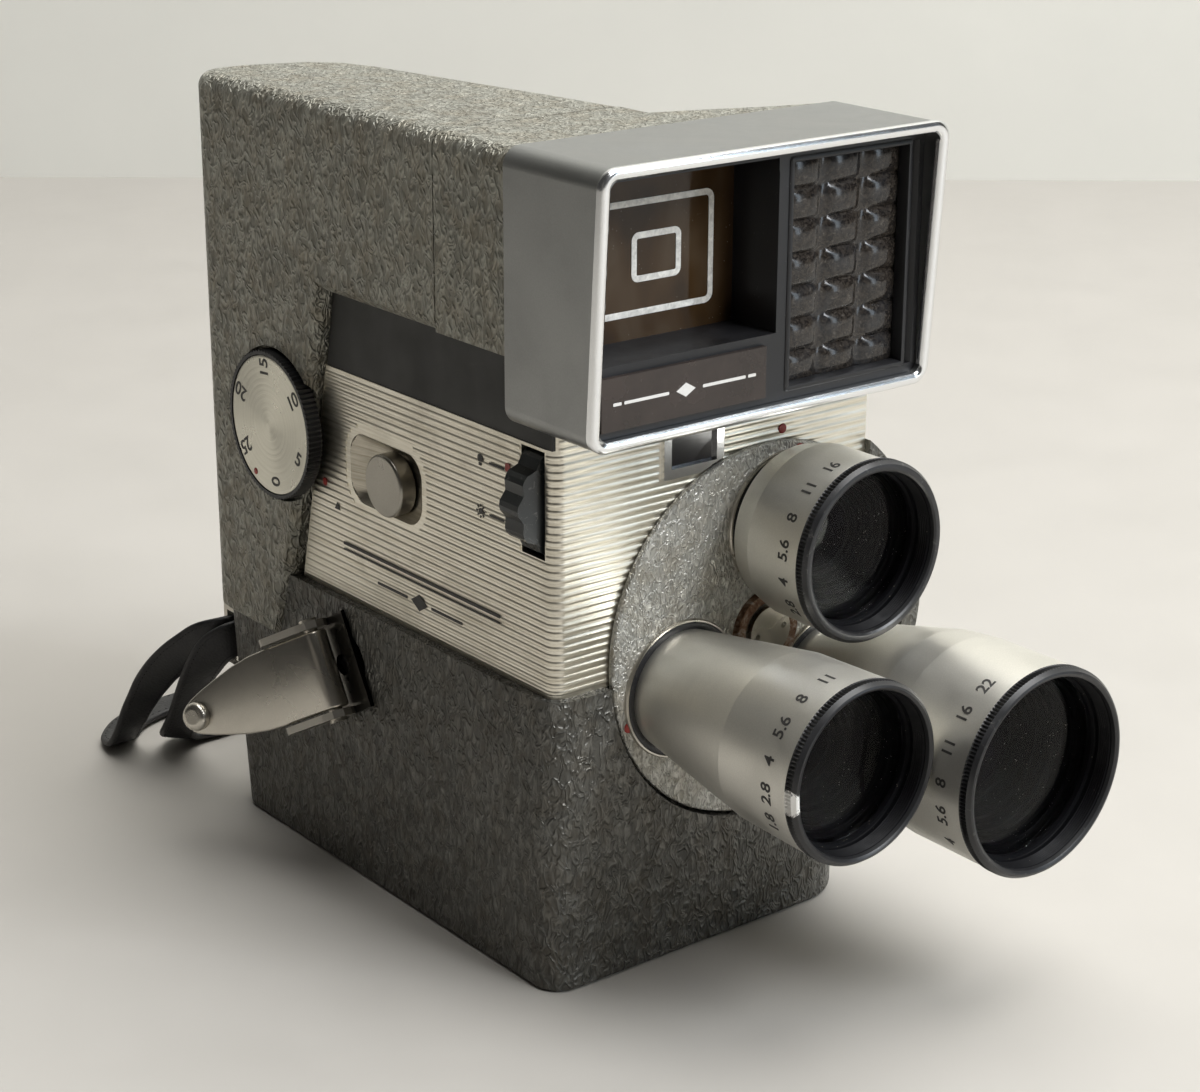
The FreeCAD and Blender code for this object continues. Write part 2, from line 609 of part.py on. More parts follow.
def cover_screws():
    """Four slotted screws under the base."""
    screws = []
    for x, y in SCREWS:
        head = cyl_z(0.05, 1.0, (x, y), 2.2)
        shank = cyl_z(1.0, 7.0, (x, y), 1.2)
        slot = box(x - 3, x + 3, y - 0.3, y + 0.3, -1, 0.5)
        screws.append(joined([head, shank]).cut(slot))
    return group(screws)


# ---------------------------------------------------------------- turret and lenses

def turret_disc():
    flange = cyl_y(TURRET_FACE, TURRET_STEP, TURRET, TURRET_RADIUS)
    flange = rounded(flange, 0.4, lambda e: near(e, 1, TURRET_FACE))
    disc = joined([flange, cyl_y(TURRET_STEP, TURRET_BACK, TURRET, TURRET_NECK)])
    holes = [cyl_y(-5, 5, lens_centre(lens[1]), MOUNT_RADIUS) for lens in LENSES]
    return disc.cut(holes + [cyl_y(-5, 5, TURRET, TURRET_SPINDLE + PIN_FIT)])


def turret_hub_ring():
    front = TURRET_FACE - 0.9
    return turned([(front, 4.9), (front, 6.6), (TURRET_FACE, 7.0), (TURRET_FACE, 4.9)], TURRET)


def turret_spindle():
    return cyl_y(-2.2, FRONT_INSIDE, TURRET, TURRET_SPINDLE)


def turret_hub_nut():
    nut = cyl_y(TURRET_FACE - 1.6, TURRET_FACE - 0.3, TURRET, 4.3)
    holes = [cyl_y(-5, TURRET_FACE - 0.7, on_circle(TURRET, 2.9, turn), 0.55) for turn in (10, 190)]
    return nut.cut(holes + [cyl_y(-2.2, 5, TURRET, TURRET_SPINDLE)])


def lens_barrel(lens):
    name, angle, outline, front, radius = lens
    back, mouth = outline[0][0], outline[-1][0]
    bore = outline[-1][1] - BARREL_WALL
    inside = [(mouth, bore), (mouth + 7.0, bore), (back - 2.5, MOUNT_SHOULDER), (back, MOUNT_SHOULDER)]
    return turned(outline + inside, lens_centre(angle))


def tube_radius(lens):
    """The inside of the black tube, which the front glass fits."""
    return lens[2][-1][1] - BARREL_WALL - 0.05 - TUBE_WALL


def lens_front_ring(lens):
    """The knurled ring, with a black tube behind it that holds the glass and narrows in steps."""
    name, angle, outline, front, radius = lens
    centre = lens_centre(angle)
    back = outline[-1][0]
    blank = knurled(front + 0.9, back, centre, radius, int(radius * 6.5), 0.28)
    lip = cyl_y(front, front + 0.9, centre, radius - 0.5)
    ring = joined([blank, lip]).cut(cyl_y(front - 1, back + 1, centre, tube_radius(lens) + 0.25))
    return joined([ring, funnel(lens)])


def funnel(lens):
    name, angle, outline, front, radius = lens
    mouth, back, seat = front + 1.2, outline[-1][0], front + GLASS_BACK
    stop, inner = LENS_STOP[name]
    bore = tube_radius(lens)
    wide = bore - 0.8
    steps = 6
    profile = [(mouth, bore + 0.35), (mouth, bore), (seat, bore), (seat, wide)]
    for step in range(steps):
        y = seat + (stop - seat) * (step + 1) / steps
        profile.append((y, wide + (inner - wide) * step / steps))
        profile.append((y, wide + (inner - wide) * (step + 1) / steps))
    profile += [(stop + 1.6, inner), (stop + 1.6, inner + 2.2), (stop, inner + 2.2)]
    profile += [(back + 6.8, bore + TUBE_WALL), (back - 0.4, bore + TUBE_WALL), (back - 0.4, bore + 0.35)]
    return turned(profile, lens_centre(angle))


def lens_glass(lens):
    """The front element, convex to the front, and a smaller rear element as a second solid."""
    name, angle, outline, front, radius = lens
    centre = lens_centre(angle)
    edge = tube_radius(lens) - 0.05
    seat, rim = front + GLASS_BACK, front + GLASS_EDGE
    big = turned([(seat, 0.0), (seat, edge), (rim, edge)] + dome(rim, edge, GLASS_BULGE), centre)
    small = cyl_y(-1.2, 0.4, centre, 4.45)
    return group([big, small])


def dome(edge_y, edge, sag):
    """Points from the rim of a convex face in to its axis."""
    steps = 6
    points = []
    for step in range(1, steps + 1):
        share = 1 - step / steps
        points.append((edge_y - sag * (1 - share * share), edge * share))
    return points


def lens_mount(lens):
    """The threaded sleeve that screws into the turret and carries the barrel."""
    name, angle, outline, front, radius = lens
    back = LENS_STOP[name][0] + 3.0
    return turned([
        (TURRET_BACK - 0.1, 4.45),
        (TURRET_BACK - 0.1, MOUNT_RADIUS),
        (TURRET_FACE, MOUNT_RADIUS),
        (TURRET_FACE, MOUNT_SHOULDER),
        (back, MOUNT_SHOULDER),
        (back, 4.45),
    ], lens_centre(angle))


# ---------------------------------------------------------------- left side controls

def footage_dial():
    return cyl_x(DIAL_FACE, -1.7, DIAL, DIAL_RADIUS)


def dial_rim():
    """The knurled black rim and the spindle that it turns."""
    outline = []
    ridges = 90
    for ridge in range(ridges):
        for share, reach in ((0.0, DIAL_RIM), (0.5, DIAL_RIM - 0.3)):
            outline.append(on_circle(DIAL, reach, (ridge + share) * 360.0 / ridges))
    blank = prism_x(outline, DIAL_FACE - 0.1, -1.2).cut(cyl_x(-10, -1.7, DIAL, DIAL_RADIUS))
    return joined([blank, cyl_x(-1.2, 30.0, DIAL, 2.0)])


def start_button():
    cap = cyl_x(-1.8, 1.2, BUTTON, BUTTON_RADIUS)
    cap = rounded(cap, 0.5, lambda e: near(e, 0, -1.8))
    stem = cyl_x(1.2, 4.6, BUTTON, 1.5)
    return joined([cap, stem])


def start_lever():
    """A sliding bar behind the wall that frees the governor."""
    bar = box(4.6, 5.8, 20.0, BUTTON[0] + 3, BUTTON[1] - 2.5, BUTTON[1] + 2.5)
    finger = box(4.6, 8.0, 20.0, 22.0, BUTTON[1] - 12, BUTTON[1] + 2.5)
    return joined([bar, finger])


def wheel_outline(radius, lobes, depth):
    points = []
    steps = 6
    for lobe in range(lobes):
        for step in range(steps):
            share = (lobe + step / steps) * 360.0 / lobes
            reach = radius - depth * abs(math.cos(math.pi * step / steps)) ** 3
            points.append(on_circle(WHEEL, reach, share))
    return points


def filter_wheel():
    """The scalloped thumbwheel and the axle it is turned with."""
    rim = wheel_outline(WHEEL_RADIUS, WHEEL_LOBES, 0.9)
    wheel = prism([V(x, WHEEL_FRONT, z) for x, z in rim], V(0, WHEEL_REAR - WHEEL_FRONT, 0))
    return joined([wheel, cyl_y(WHEEL_REAR, 16.0, WHEEL, 1.18)])


def filter_flag():
    """A thin arm on the thumbwheel that swings a colour filter in front of the shutter."""
    front, rear = 3.95, 4.65
    run = V(APERTURE[0] - WHEEL[0], 0, APERTURE[1] - WHEEL[1])
    side = V(-run.z, 0, run.x).normalize()
    hub = V(WHEEL[0], front, WHEEL[1])
    end = hub + run
    step = side * 2.5
    arm = prism([hub + step, end + step, end - step, hub - step], V(0, rear - front, 0))
    eye = cyl_y(front, rear, APERTURE, 5.6)
    clear = prism([V(x, -5, z) for x, z in wheel_outline(WHEEL_RADIUS, WHEEL_LOBES, 0.9)], V(0, 20, 0))
    return joined([arm, eye]).cut(clear)


# ---------------------------------------------------------------- winding key

KEY_PIN_DIRECTION = V(0, math.sin(math.radians(KEY_TILT)), math.cos(math.radians(KEY_TILT)))
KEY_LEAF_DIRECTION = V(0, math.cos(math.radians(KEY_TILT)), -math.sin(math.radians(KEY_TILT)))


def key_point(out, along, across):
    """A point by its distance out of the side, along the folded leaf and along the pin."""
    flat = V(0, KEY[0], KEY[1]) + KEY_LEAF_DIRECTION * along + KEY_PIN_DIRECTION * across
    return flat + V(-out, 0, 0)


def key_prism(outline, across0, across1):
    """An outline of (out, along) points pushed along the pin direction."""
    points = [key_point(out, along, across0) for out, along in outline]
    return prism(points, KEY_PIN_DIRECTION * (across1 - across0))


def key_bar(out, along, radius, across0, across1):
    return Part.makeCylinder(radius, across1 - across0, key_point(out, along, across0), KEY_PIN_DIRECTION)


def ear_outline():
    """A lobe from the bridge round the hinge pin and out towards the leaf's tip."""
    foot = [(BRIDGE_OUT[0], 5.4), (BRIDGE_OUT[0], 2.6)]
    lobe = [(2.8, 0.4), (4.4, -1.1), (6.2, -1.6), (8.0, -0.8), (9.2, 1.0)]
    tip = [(12.7, 7.6), (12.2, 9.2), (10.8, 9.8)]
    return foot + lobe + tip + [(7.2, 7.0), (3.4, 6.2)]


def key_yoke():
    """The bracket that is turned to wind: a hub, a bridge and two ears round the hinge pin."""
    half = KEY_GAP / 2
    low, high = BRIDGE_OUT
    hub = cyl_x(-high, 1.2, KEY, KEY_RECESS - 0.8)
    bridge = key_prism([(low, -5.0), (high, -5.0), (high, 5.4), (low, 5.4)], -half - EAR, half + EAR)
    ears = [key_prism(ear_outline(), half, half + EAR), key_prism(ear_outline(), -half - EAR, -half)]
    yoke = joined([hub, bridge] + ears)
    bore = key_bar(PIN_OUT, PIN_ALONG, PIN_RADIUS, -half - EAR - 1, half + EAR + 1)
    return yoke.cut([bore, cyl_x(-5, 5, KEY, SHAFT_RADIUS)])


def key_pin():
    half = KEY_GAP / 2
    pin = key_bar(PIN_OUT, PIN_ALONG, PIN_RADIUS, -half - EAR, half + EAR)
    heads = [
        key_bar(PIN_OUT, PIN_ALONG, 1.6, -half - EAR - 0.6, -half - EAR),
        key_bar(PIN_OUT, PIN_ALONG, 1.6, half + EAR, half + EAR + 0.6),
    ]
    return joined([pin] + heads)


def leaf_frame():
    """The leaf's own directions: along it, and square to its face."""
    turn = math.radians(LEAF_ANGLE)
    along = KEY_LEAF_DIRECTION * math.cos(turn) + V(-1, 0, 0) * math.sin(turn)
    face = V(-1, 0, 0) * math.cos(turn) - KEY_LEAF_DIRECTION * math.sin(turn)
    return along, face


def leaf_point(along, face, across):
    direction, normal = leaf_frame()
    return key_point(PIN_OUT, PIN_ALONG, across) + direction * along + normal * face


def key_leaf():
    """A tapering flap with a round tip, rolled round the hinge pin at its wide end."""
    half = KEY_GAP / 2 - 0.45
    side = [(9.0, half), (16.0, half - 0.7), (22.0, half - 2.1), (26.4, half - 3.9), (28.8, half - 5.4)]
    upper = [leaf_point(along, LEAF_LIFT, across) for along, across in side]
    lower = [leaf_point(along, LEAF_LIFT, -across) for along, across in reversed(side)]
    start = [leaf_point(0, LEAF_LIFT, -half), leaf_point(0, LEAF_LIFT, half)]
    edges = [
        Part.LineSegment(start[0], start[1]).toShape(),
        smooth([start[1]] + upper + [leaf_point(LEAF_LENGTH, LEAF_LIFT, 0)] + lower + [start[0]]),
    ]
    direction, normal = leaf_frame()
    blade = Part.Face(Part.Wire(edges)).extrude(normal * LEAF_THICK)
    roll = key_bar(PIN_OUT, PIN_ALONG, LEAF_ROLL, -half, half)
    leaf = joined([blade, roll])
    return leaf.cut(key_bar(PIN_OUT, PIN_ALONG, PIN_RADIUS + 0.04, -half - 1, half + 1))


def smooth(points):
    curve = Part.BSplineCurve()
    curve.interpolate(points)
    return curve.toShape()


def key_thumb_stud():
    direction, normal = leaf_frame()
    base = leaf_point(LEAF_LENGTH - 2.9, LEAF_LIFT + LEAF_THICK, 0)
    stud = Part.makeCylinder(2.6, 1.7, base, normal)
    return rounded(stud, 1.3, lambda e: e.Length > 10 and (e.CenterOfMass - base).dot(normal) > 1)


def winding_shaft():
    return cyl_x(-1.6, 34.6, KEY, SHAFT_RADIUS)


# ---------------------------------------------------------------- mechanism

def mechanism_plate():
    """The wall between spring motor and film chamber, with the supply post and the pressure plate's guide."""
    plate = box(PLATE_X[0], PLATE_X[1], 24.0, CHAMBER_REAR, 10.0, BAND_TOP - 2.5)
    post = cyl_x(PLATE_X[1] - 0.2, SPOOL_X[1] + 1.2, SUPPLY, 2.0)
    shoulder = cyl_x(PLATE_X[1] - 0.2, SPOOL_X[0] - 0.05, SUPPLY, 4.0)
    guide = box(PLATE_X[1] - 0.6, 55.0, GATE_Y + 4.0, GATE_Y + 5.2, 69.0, 77.0)
    foot = box(PLATE_X[1] - 0.6, PLATE_X[1] + 1.2, GATE_Y + 4.0, 30.0, 69.0, 77.0)
    whole = joined([plate, post, shoulder, guide, foot])
    return whole.cut([
        cyl_x(30, 40, TAKE_UP, 2.06),
        cyl_x(30, 40, INTERMEDIATE, 1.1),
        cyl_y(GATE_Y + 2, 30, (APERTURE[0], 73.0), 1.66),
    ])


def spring_drum():
    """The drum of the spring motor, with the great wheel's teeth on its inner face."""
    drum = cyl_x(DRUM_X[0], DRUM_X[1], KEY, DRUM_RADIUS)
    hollow = cyl_x(DRUM_X[0] + 1.2, DRUM_X[1] - 1.2, KEY, DRUM_RADIUS - 1.4)
    wheel = gear_x(DRUM_X[1], DRUM_X[1] + 2.0, KEY, GEAR_MODULE, GREAT_TEETH, 0.0)
    return joined([drum, wheel]).cut([hollow, cyl_x(0, 40, KEY, 1.94)])


def mainspring():
    """The coiled spring, as nested turns joined by a bridge."""
    low, high = DRUM_X[0] + 2.0, DRUM_X[1] - 2.0
    turns = []
    for turn in range(6):
        radius = 6.0 + turn * 2.6
        turns.append(cyl_x(low, high, KEY, radius).cut(cyl_x(0, 40, KEY, radius - 0.8)))
    bridge = box(low, high, KEY[0] + 5.6, KEY[0] + 18.8, KEY[1] - 0.4, KEY[1] + 0.4)
    return joined(turns + [bridge])


def intermediate_wheel():
    """A pinion that meshes with the great wheel, and a larger skew wheel for the shutter's worm."""
    pinion = gear_x(DRUM_X[1] + 0.4, DRUM_X[1] + 2.4, INTERMEDIATE, GEAR_MODULE, PINION_TEETH, 0.5)
    skew = gear_x(SHUTTER[0] - 0.8, SHUTTER[0] + 0.8, INTERMEDIATE, SKEW_MODULE, SKEW_TEETH, 0.0)
    arbor = cyl_x(DRUM_X[1] - 2.0, 37.0, INTERMEDIATE, 1.05)
    return joined([pinion, skew, arbor])


def shutter_shaft():
    shaft = cyl_y(5.2, 36.0, SHUTTER, 1.5)
    reach = SHUTTER[1] - INTERMEDIATE[1] - SKEW_WHEEL_RADIUS - 0.5
    worm = cyl_y(INTERMEDIATE[0] - 3.5, INTERMEDIATE[0] + 3.5, SHUTTER, reach)
    return joined([shaft, worm])


def shutter_disc():
    disc = cyl_y(5.4, 5.9, SHUTTER, SHUTTER_RADIUS)
    edge = [V(x, 5, z) for x, z in [on_circle(SHUTTER, 30, turn) for turn in (150, 180, 215, 250, 285)]]
    sector = prism([V(SHUTTER[0], 5, SHUTTER[1])] + edge, V(0, 2, 0))
    return disc.cut([sector.cut(cyl_y(5, 7, SHUTTER, 5.0)), cyl_y(0, 20, SHUTTER, 1.5)])


def aperture_plate():
    """The film gate, standing on the front wall."""
    plate = box(37.6, 55.4, GATE_Y - 0.9, GATE_Y, 58.0, 88.0)
    legs = [
        box(54.6, 55.4, FRONT_INSIDE, GATE_Y - 0.9, 60.0, 86.0),
        box(37.6, 38.4, FRONT_INSIDE, GATE_Y - 0.9, 84.0, 88.0),
    ]
    window = box(APERTURE[0] - 2.3, APERTURE[0] + 2.5, 5, 15, APERTURE[1] - 1.7, APERTURE[1] + 1.7)
    claw_slot = box(38.9, 40.5, 9, 15, 61.0, 67.0)
    return joined([plate] + legs).cut([window, claw_slot])


def pressure_plate():
    plate = box(FILM_X[0], FILM_X[1], GATE_Y + 0.5, GATE_Y + 1.7, 60.0, 86.0)
    plate = plate.cut(box(38, 41.2, GATE_Y, GATE_Y + 3, 60.6, 67.4))
    stem = cyl_y(GATE_Y + 1.7, GATE_Y + 5.6, (APERTURE[0], 73.0), 1.6)
    return joined([plate, stem])


def pull_down_claw():
    arm = box(39.2, 40.2, 6.6, 8.0, 48.0, 66.2)
    tooth = box(39.2, 40.2, 6.6, GATE_Y + 0.3, 65.2, 66.2)
    return joined([arm, tooth])


def spool(centre):
    core = cyl_x(SPOOL_X[0], SPOOL_X[1], centre, 7.5)
    flanges = [
        cyl_x(SPOOL_X[0], SPOOL_X[0] + 0.8, centre, SPOOL_RADIUS),
        cyl_x(SPOOL_X[1] - 0.8, SPOOL_X[1], centre, SPOOL_RADIUS),
    ]
    return joined([core] + flanges).cut(cyl_x(0, 100, centre, 2.06))


def take_up_spindle():
    shaft = cyl_x(33.0, SPOOL_X[1] + 1.2, TAKE_UP, 2.0)
    shoulder = cyl_x(PLATE_X[1] + 0.3, SPOOL_X[0] - 0.05, TAKE_UP, 4.0)
    return joined([shaft, shoulder])


def write(name, shape):
    moved = shape.translated(SOCKET * -1)
    moved.exportStep("parts/" + name + ".step")


def pieces():
    """Every piece of the camera, by its plain name."""
    made = {
        "main_casting": main_casting(),
        "viewfinder_housing": viewfinder_housing(),
        "front_cap": front_cap(),
        "trim_plate": trim_plate(),
        "black_band": black_band(),
        "hood": hood(),
        "hood_insert": hood_insert(),
        "name_panel": name_panel(),
        "finder_window": finder_window(),
        "meter_lens": meter_lens(),
        "selenium_cell": selenium_cell(),
        "exposure_window_frame": exposure_window_frame(),
        "exposure_window_glass": exposure_window_glass(),
        "film_door": film_door(),
        "door_latch": door_latch(),
        "eyepiece_ring": eyepiece_ring(),
        "eyepiece_lens": eyepiece_lens(),
        "tripod_bush": tripod_bush(),
        "strap_lug": strap_lug(),
        "wrist_strap": wrist_strap(),
        "base_screws": cover_screws(),
        "turret_disc": turret_disc(),
        "turret_hub_ring": turret_hub_ring(),
        "turret_spindle": turret_spindle(),
        "turret_hub_nut": turret_hub_nut(),
        "footage_dial": footage_dial(),
        "dial_rim": dial_rim(),
        "start_button": start_button(),
        "start_lever": start_lever(),
        "filter_wheel": filter_wheel(),
        "filter_flag": filter_flag(),
        "key_yoke": key_yoke(),
        "key_pin": key_pin(),
        "key_leaf": key_leaf(),
        "key_thumb_stud": key_thumb_stud(),
        "winding_shaft": winding_shaft(),
        "mechanism_plate": mechanism_plate(),
        "spring_drum": spring_drum(),
        "mainspring": mainspring(),
        "intermediate_wheel": intermediate_wheel(),
        "shutter_shaft": shutter_shaft(),
        "shutter_disc": shutter_disc(),
        "aperture_plate": aperture_plate(),
        "pressure_plate": pressure_plate(),
        "pull_down_claw": pull_down_claw(),
        "supply_spool": spool(SUPPLY),
        "take_up_spool": spool(TAKE_UP),
        "take_up_spindle": take_up_spindle(),
    }
    for lens in LENSES:
        made[lens[0] + "_lens_barrel"] = lens_barrel(lens)
        made[lens[0] + "_lens_front_ring"] = lens_front_ring(lens)
        made[lens[0] + "_lens_glass"] = lens_glass(lens)
        made[lens[0] + "_lens_mount"] = lens_mount(lens)
    return made


os.makedirs("parts", exist_ok=True)
for name, shape in pieces().items():
    write(name, shape)
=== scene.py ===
import math

import bpy
from mathutils import Matrix, Vector


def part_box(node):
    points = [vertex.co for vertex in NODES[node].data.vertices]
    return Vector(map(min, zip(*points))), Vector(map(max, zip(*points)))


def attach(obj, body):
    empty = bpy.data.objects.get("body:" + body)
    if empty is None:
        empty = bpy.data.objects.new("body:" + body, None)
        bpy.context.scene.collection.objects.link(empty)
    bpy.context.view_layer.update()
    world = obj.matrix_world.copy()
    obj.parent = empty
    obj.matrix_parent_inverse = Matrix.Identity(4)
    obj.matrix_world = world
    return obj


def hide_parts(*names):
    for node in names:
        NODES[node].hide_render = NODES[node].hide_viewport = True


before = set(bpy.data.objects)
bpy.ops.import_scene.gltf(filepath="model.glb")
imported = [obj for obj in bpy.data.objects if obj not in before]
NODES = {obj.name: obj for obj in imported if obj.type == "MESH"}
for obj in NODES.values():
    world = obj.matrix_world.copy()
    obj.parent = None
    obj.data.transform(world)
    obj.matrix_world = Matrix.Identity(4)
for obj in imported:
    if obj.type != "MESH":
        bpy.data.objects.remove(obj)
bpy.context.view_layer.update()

MM = 0.001
# Lengths below are millimetres from the corner of the trim plate, as in the part: x right, y rear, z up.
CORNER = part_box("trim_plate")[0]
UP = Vector((0, 0, 1))


def at(x, y, z):
    return Vector((CORNER.x + x * MM, CORNER.y + y * MM, z * MM))


def centre_of(node):
    low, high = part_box(node)
    return (low + high) / 2


def placed(name, data):
    """An object linked into the scene."""
    made = bpy.data.objects.new(name, data)
    bpy.context.scene.collection.objects.link(made)
    return made


# ---- camera

RIGHT = Vector((0.78658, -0.61748, 0.00315))
VIEW_UP = Vector((0.20258, 0.26288, 0.94332))
BACK = Vector((-0.58331, -0.74136, 0.33186))
EYE = Vector((-0.25928, -0.34879, 0.20885))


def make_camera():
    data = bpy.data.cameras.new("camera")
    data.sensor_width = 36.0
    data.lens = 77.385
    data.shift_x = 0.0016
    data.shift_y = 0.0029
    data.clip_start = 0.01
    eye = placed("camera", data)
    turn = Matrix((RIGHT, VIEW_UP, BACK)).transposed().to_4x4()
    eye.matrix_world = Matrix.Translation(EYE) @ turn
    bpy.context.scene.camera = eye


make_camera()


# ---- materials

class Shader:
    """A small helper to build one material's nodes."""

    def __init__(self, name, roughness=0.4, metallic=0.0, **sockets):
        self.material = bpy.data.materials.new(name)
        self.material.use_nodes = True
        self.nodes = self.material.node_tree.nodes
        self.links = self.material.node_tree.links
        self.bsdf = self.nodes["Principled BSDF"]
        self.bsdf.inputs["Roughness"].default_value = roughness
        self.bsdf.inputs["Metallic"].default_value = metallic
        for key, value in sockets.items():
            self.bsdf.inputs[key.replace("_", " ")].default_value = value
        self.place = self.nodes.new("ShaderNodeTexCoord").outputs["Object"]

    def put(self, source, socket):
        if isinstance(source, (int, float, tuple)):
            socket.default_value = source
        else:
            self.links.new(source, socket)

    def node(self, kind, source, socket, values):
        """Make a node, set its inputs by name and link a source to one of them."""
        made = self.nodes.new(kind)
        for key, value in values.items():
            made.inputs[key].default_value = value
        self.links.new(source, made.inputs[socket])
        return made

    def scaled(self, scale, source=None):
        node = self.node("ShaderNodeMapping", source or self.place, "Vector", {"Scale": scale})
        return node.outputs["Vector"]

    def noise(self, scale, detail=3.0, rough=0.5, twist=0.0, source=None):
        values = {"Scale": scale, "Detail": detail, "Roughness": rough, "Distortion": twist}
        return self.node("ShaderNodeTexNoise", source or self.place, "Vector", values).outputs["Fac"]

    def cells(self, scale, feature="F1"):
        node = self.node("ShaderNodeTexVoronoi", self.place, "Vector", {"Scale": scale})
        node.feature = feature
        return node.outputs["Distance"]

    def maths(self, kind, a, b=0.0, c=0.0):
        node = self.nodes.new("ShaderNodeMath")
        node.operation = kind
        for value, socket in zip((a, b, c), node.inputs):
            self.put(value, socket)
        return node.outputs[0]

    def ramp(self, source, *stops):
        node = self.nodes.new("ShaderNodeValToRGB")
        marks = node.color_ramp.elements
        while len(marks) < len(stops):
            marks.new(0.5)
        for mark, (place, colour) in zip(marks, stops):
            mark.position = place
            mark.color = colour if len(colour) == 4 else (*colour, 1.0)
        self.links.new(source, node.inputs["Fac"])
        return node.outputs["Color"]

    def level(self, source, low, high, out_low=0.0, out_high=1.0):
        values = {"From Min": low, "From Max": high, "To Min": out_low, "To Max": out_high}
        return self.node("ShaderNodeMapRange", source, "Value", values).outputs["Result"]

    def mix(self, share, a, b):
        node = self.nodes.new("ShaderNodeMix")
        node.data_type = "RGBA"
        self.put(share, node.inputs[0])
        for value, socket in ((a, node.inputs[6]), (b, node.inputs[7])):
            if isinstance(value, tuple) and len(value) == 3:
                value = (*value, 1.0)
            self.put(value, socket)
        return node.outputs[2]

    def axis(self, index):
        return self.node("ShaderNodeSeparateXYZ", self.place, 0, {}).outputs[index]

    def colour(self, source):
        self.put(source, self.bsdf.inputs["Base Color"])

    def rough(self, source):
        self.put(source, self.bsdf.inputs["Roughness"])

    def bump(self, height, strength, distance):
        node = self.node("ShaderNodeBump", height, "Height", {"Strength": strength, "Distance": distance})
        self.links.new(node.outputs["Normal"], self.bsdf.inputs["Normal"])

    def near(self, point, radius):
        """1 at a point, falling to 0 at a radius."""
        node = self.node("ShaderNodeVectorMath", self.place, 0, {1: point})
        node.operation = "DISTANCE"
        return self.level(node.outputs["Value"], radius, 0.0)

    def round_axis(self, axis):
        node = self.nodes.new("ShaderNodeTangent")
        node.direction_type = "RADIAL"
        node.axis = axis
        self.links.new(node.outputs["Tangent"], self.bsdf.inputs["Tangent"])


def crinkle_paint(name, low, high, shine=0.32, fine=1.0, relief=0.0004):
    """Hammered enamel: short raised wrinkles that stand mostly upright, on a mottled ground."""
    s = Shader(name, metallic=0.5, Specular_IOR_Level=0.5)
    upright = s.scaled((1.0, 1.0, 0.55))
    worms = s.noise(680.0 * fine, 1.0, 0.5, 0.9, source=upright)
    slope = s.maths("ABSOLUTE", s.maths("MULTIPLY_ADD", worms, 6.5, -3.4))
    ridge = s.maths("MAXIMUM", s.maths("SUBTRACT", 1.0, slope), 0.0)
    swell = s.noise(330.0 * fine, 3.0, 0.55, 0.8, source=upright)
    height = s.maths("MULTIPLY_ADD", swell, 1.6, ridge)
    middle = tuple(0.6 * a + 0.4 * b for a, b in zip(low, high))
    base = s.ramp(s.maths("MULTIPLY", height, 0.5), (0.2, low), (0.5, middle), (0.95, high))
    blotch = s.noise(230.0, 2.0, 0.5)
    warm = tuple(v * f for v, f in zip(low, (1.5, 1.25, 0.95)))
    base = s.mix(s.level(blotch, 0.42, 0.66, 0.0, 0.35), base, warm)
    broad = s.noise(26.0, 2.0)
    base = s.mix(s.level(broad, 0.4, 0.7, 0.0, 0.18), base, tuple(v * 1.3 for v in high))
    s.colour(base)
    s.rough(s.level(ridge, 0.0, 1.0, shine + 0.2, shine))
    s.bump(height, 1.0, relief)
    return s.material


def satin_metal(name, colour, roughness=0.34, speckle=0.3, metallic=1.0):
    """Sandy satin metal: a fine even grain with faint smudges."""
    s = Shader(name, roughness, metallic)
    grain = s.noise(5200.0, 2.0, 0.6)
    smudge = s.noise(70.0, 4.0, 0.55, 0.5)
    base = s.ramp(grain, (0.3, tuple(v * 0.9 for v in colour)), (0.7, colour))
    base = s.mix(s.level(smudge, 0.52, 0.8, 0.0, speckle), base, tuple(v * 0.62 for v in colour))
    s.colour(base)
    s.rough(s.level(smudge, 0.3, 0.7, roughness * 0.85, roughness * 1.25))
    s.bump(grain, 0.25, 0.00003)
    return s.material


def black_finish(name, colour=(0.012, 0.012, 0.014), roughness=0.4, specks=0.35, wear=0.0):
    """Black plastic or enamel with dust specks, and worn lighter spots where wanted."""
    s = Shader(name, roughness)
    dust = s.level(s.cells(1500.0), 0.09, 0.05, 0.0, specks)
    sparse = s.level(s.noise(500.0, 1.0), 0.55, 0.62)
    cloudy = s.noise(120.0, 4.0, 0.6)
    base = s.ramp(cloudy, (0.3, colour), (0.8, tuple(v * 1.9 + 0.004 for v in colour)))
    base = s.mix(s.maths("MULTIPLY", dust, sparse), base, (0.36, 0.35, 0.33))
    if wear:
        rub = s.level(s.noise(900.0, 4.0, 0.7, 0.8), 0.62, 0.68, 0.0, wear)
        base = s.mix(rub, base, (0.3, 0.29, 0.27))
    s.colour(base)
    s.rough(s.level(cloudy, 0.3, 0.7, roughness * 0.8, roughness * 1.25))
    s.bump(s.noise(2400.0, 3.0, 0.6), 0.15, 0.00004)
    return s.material


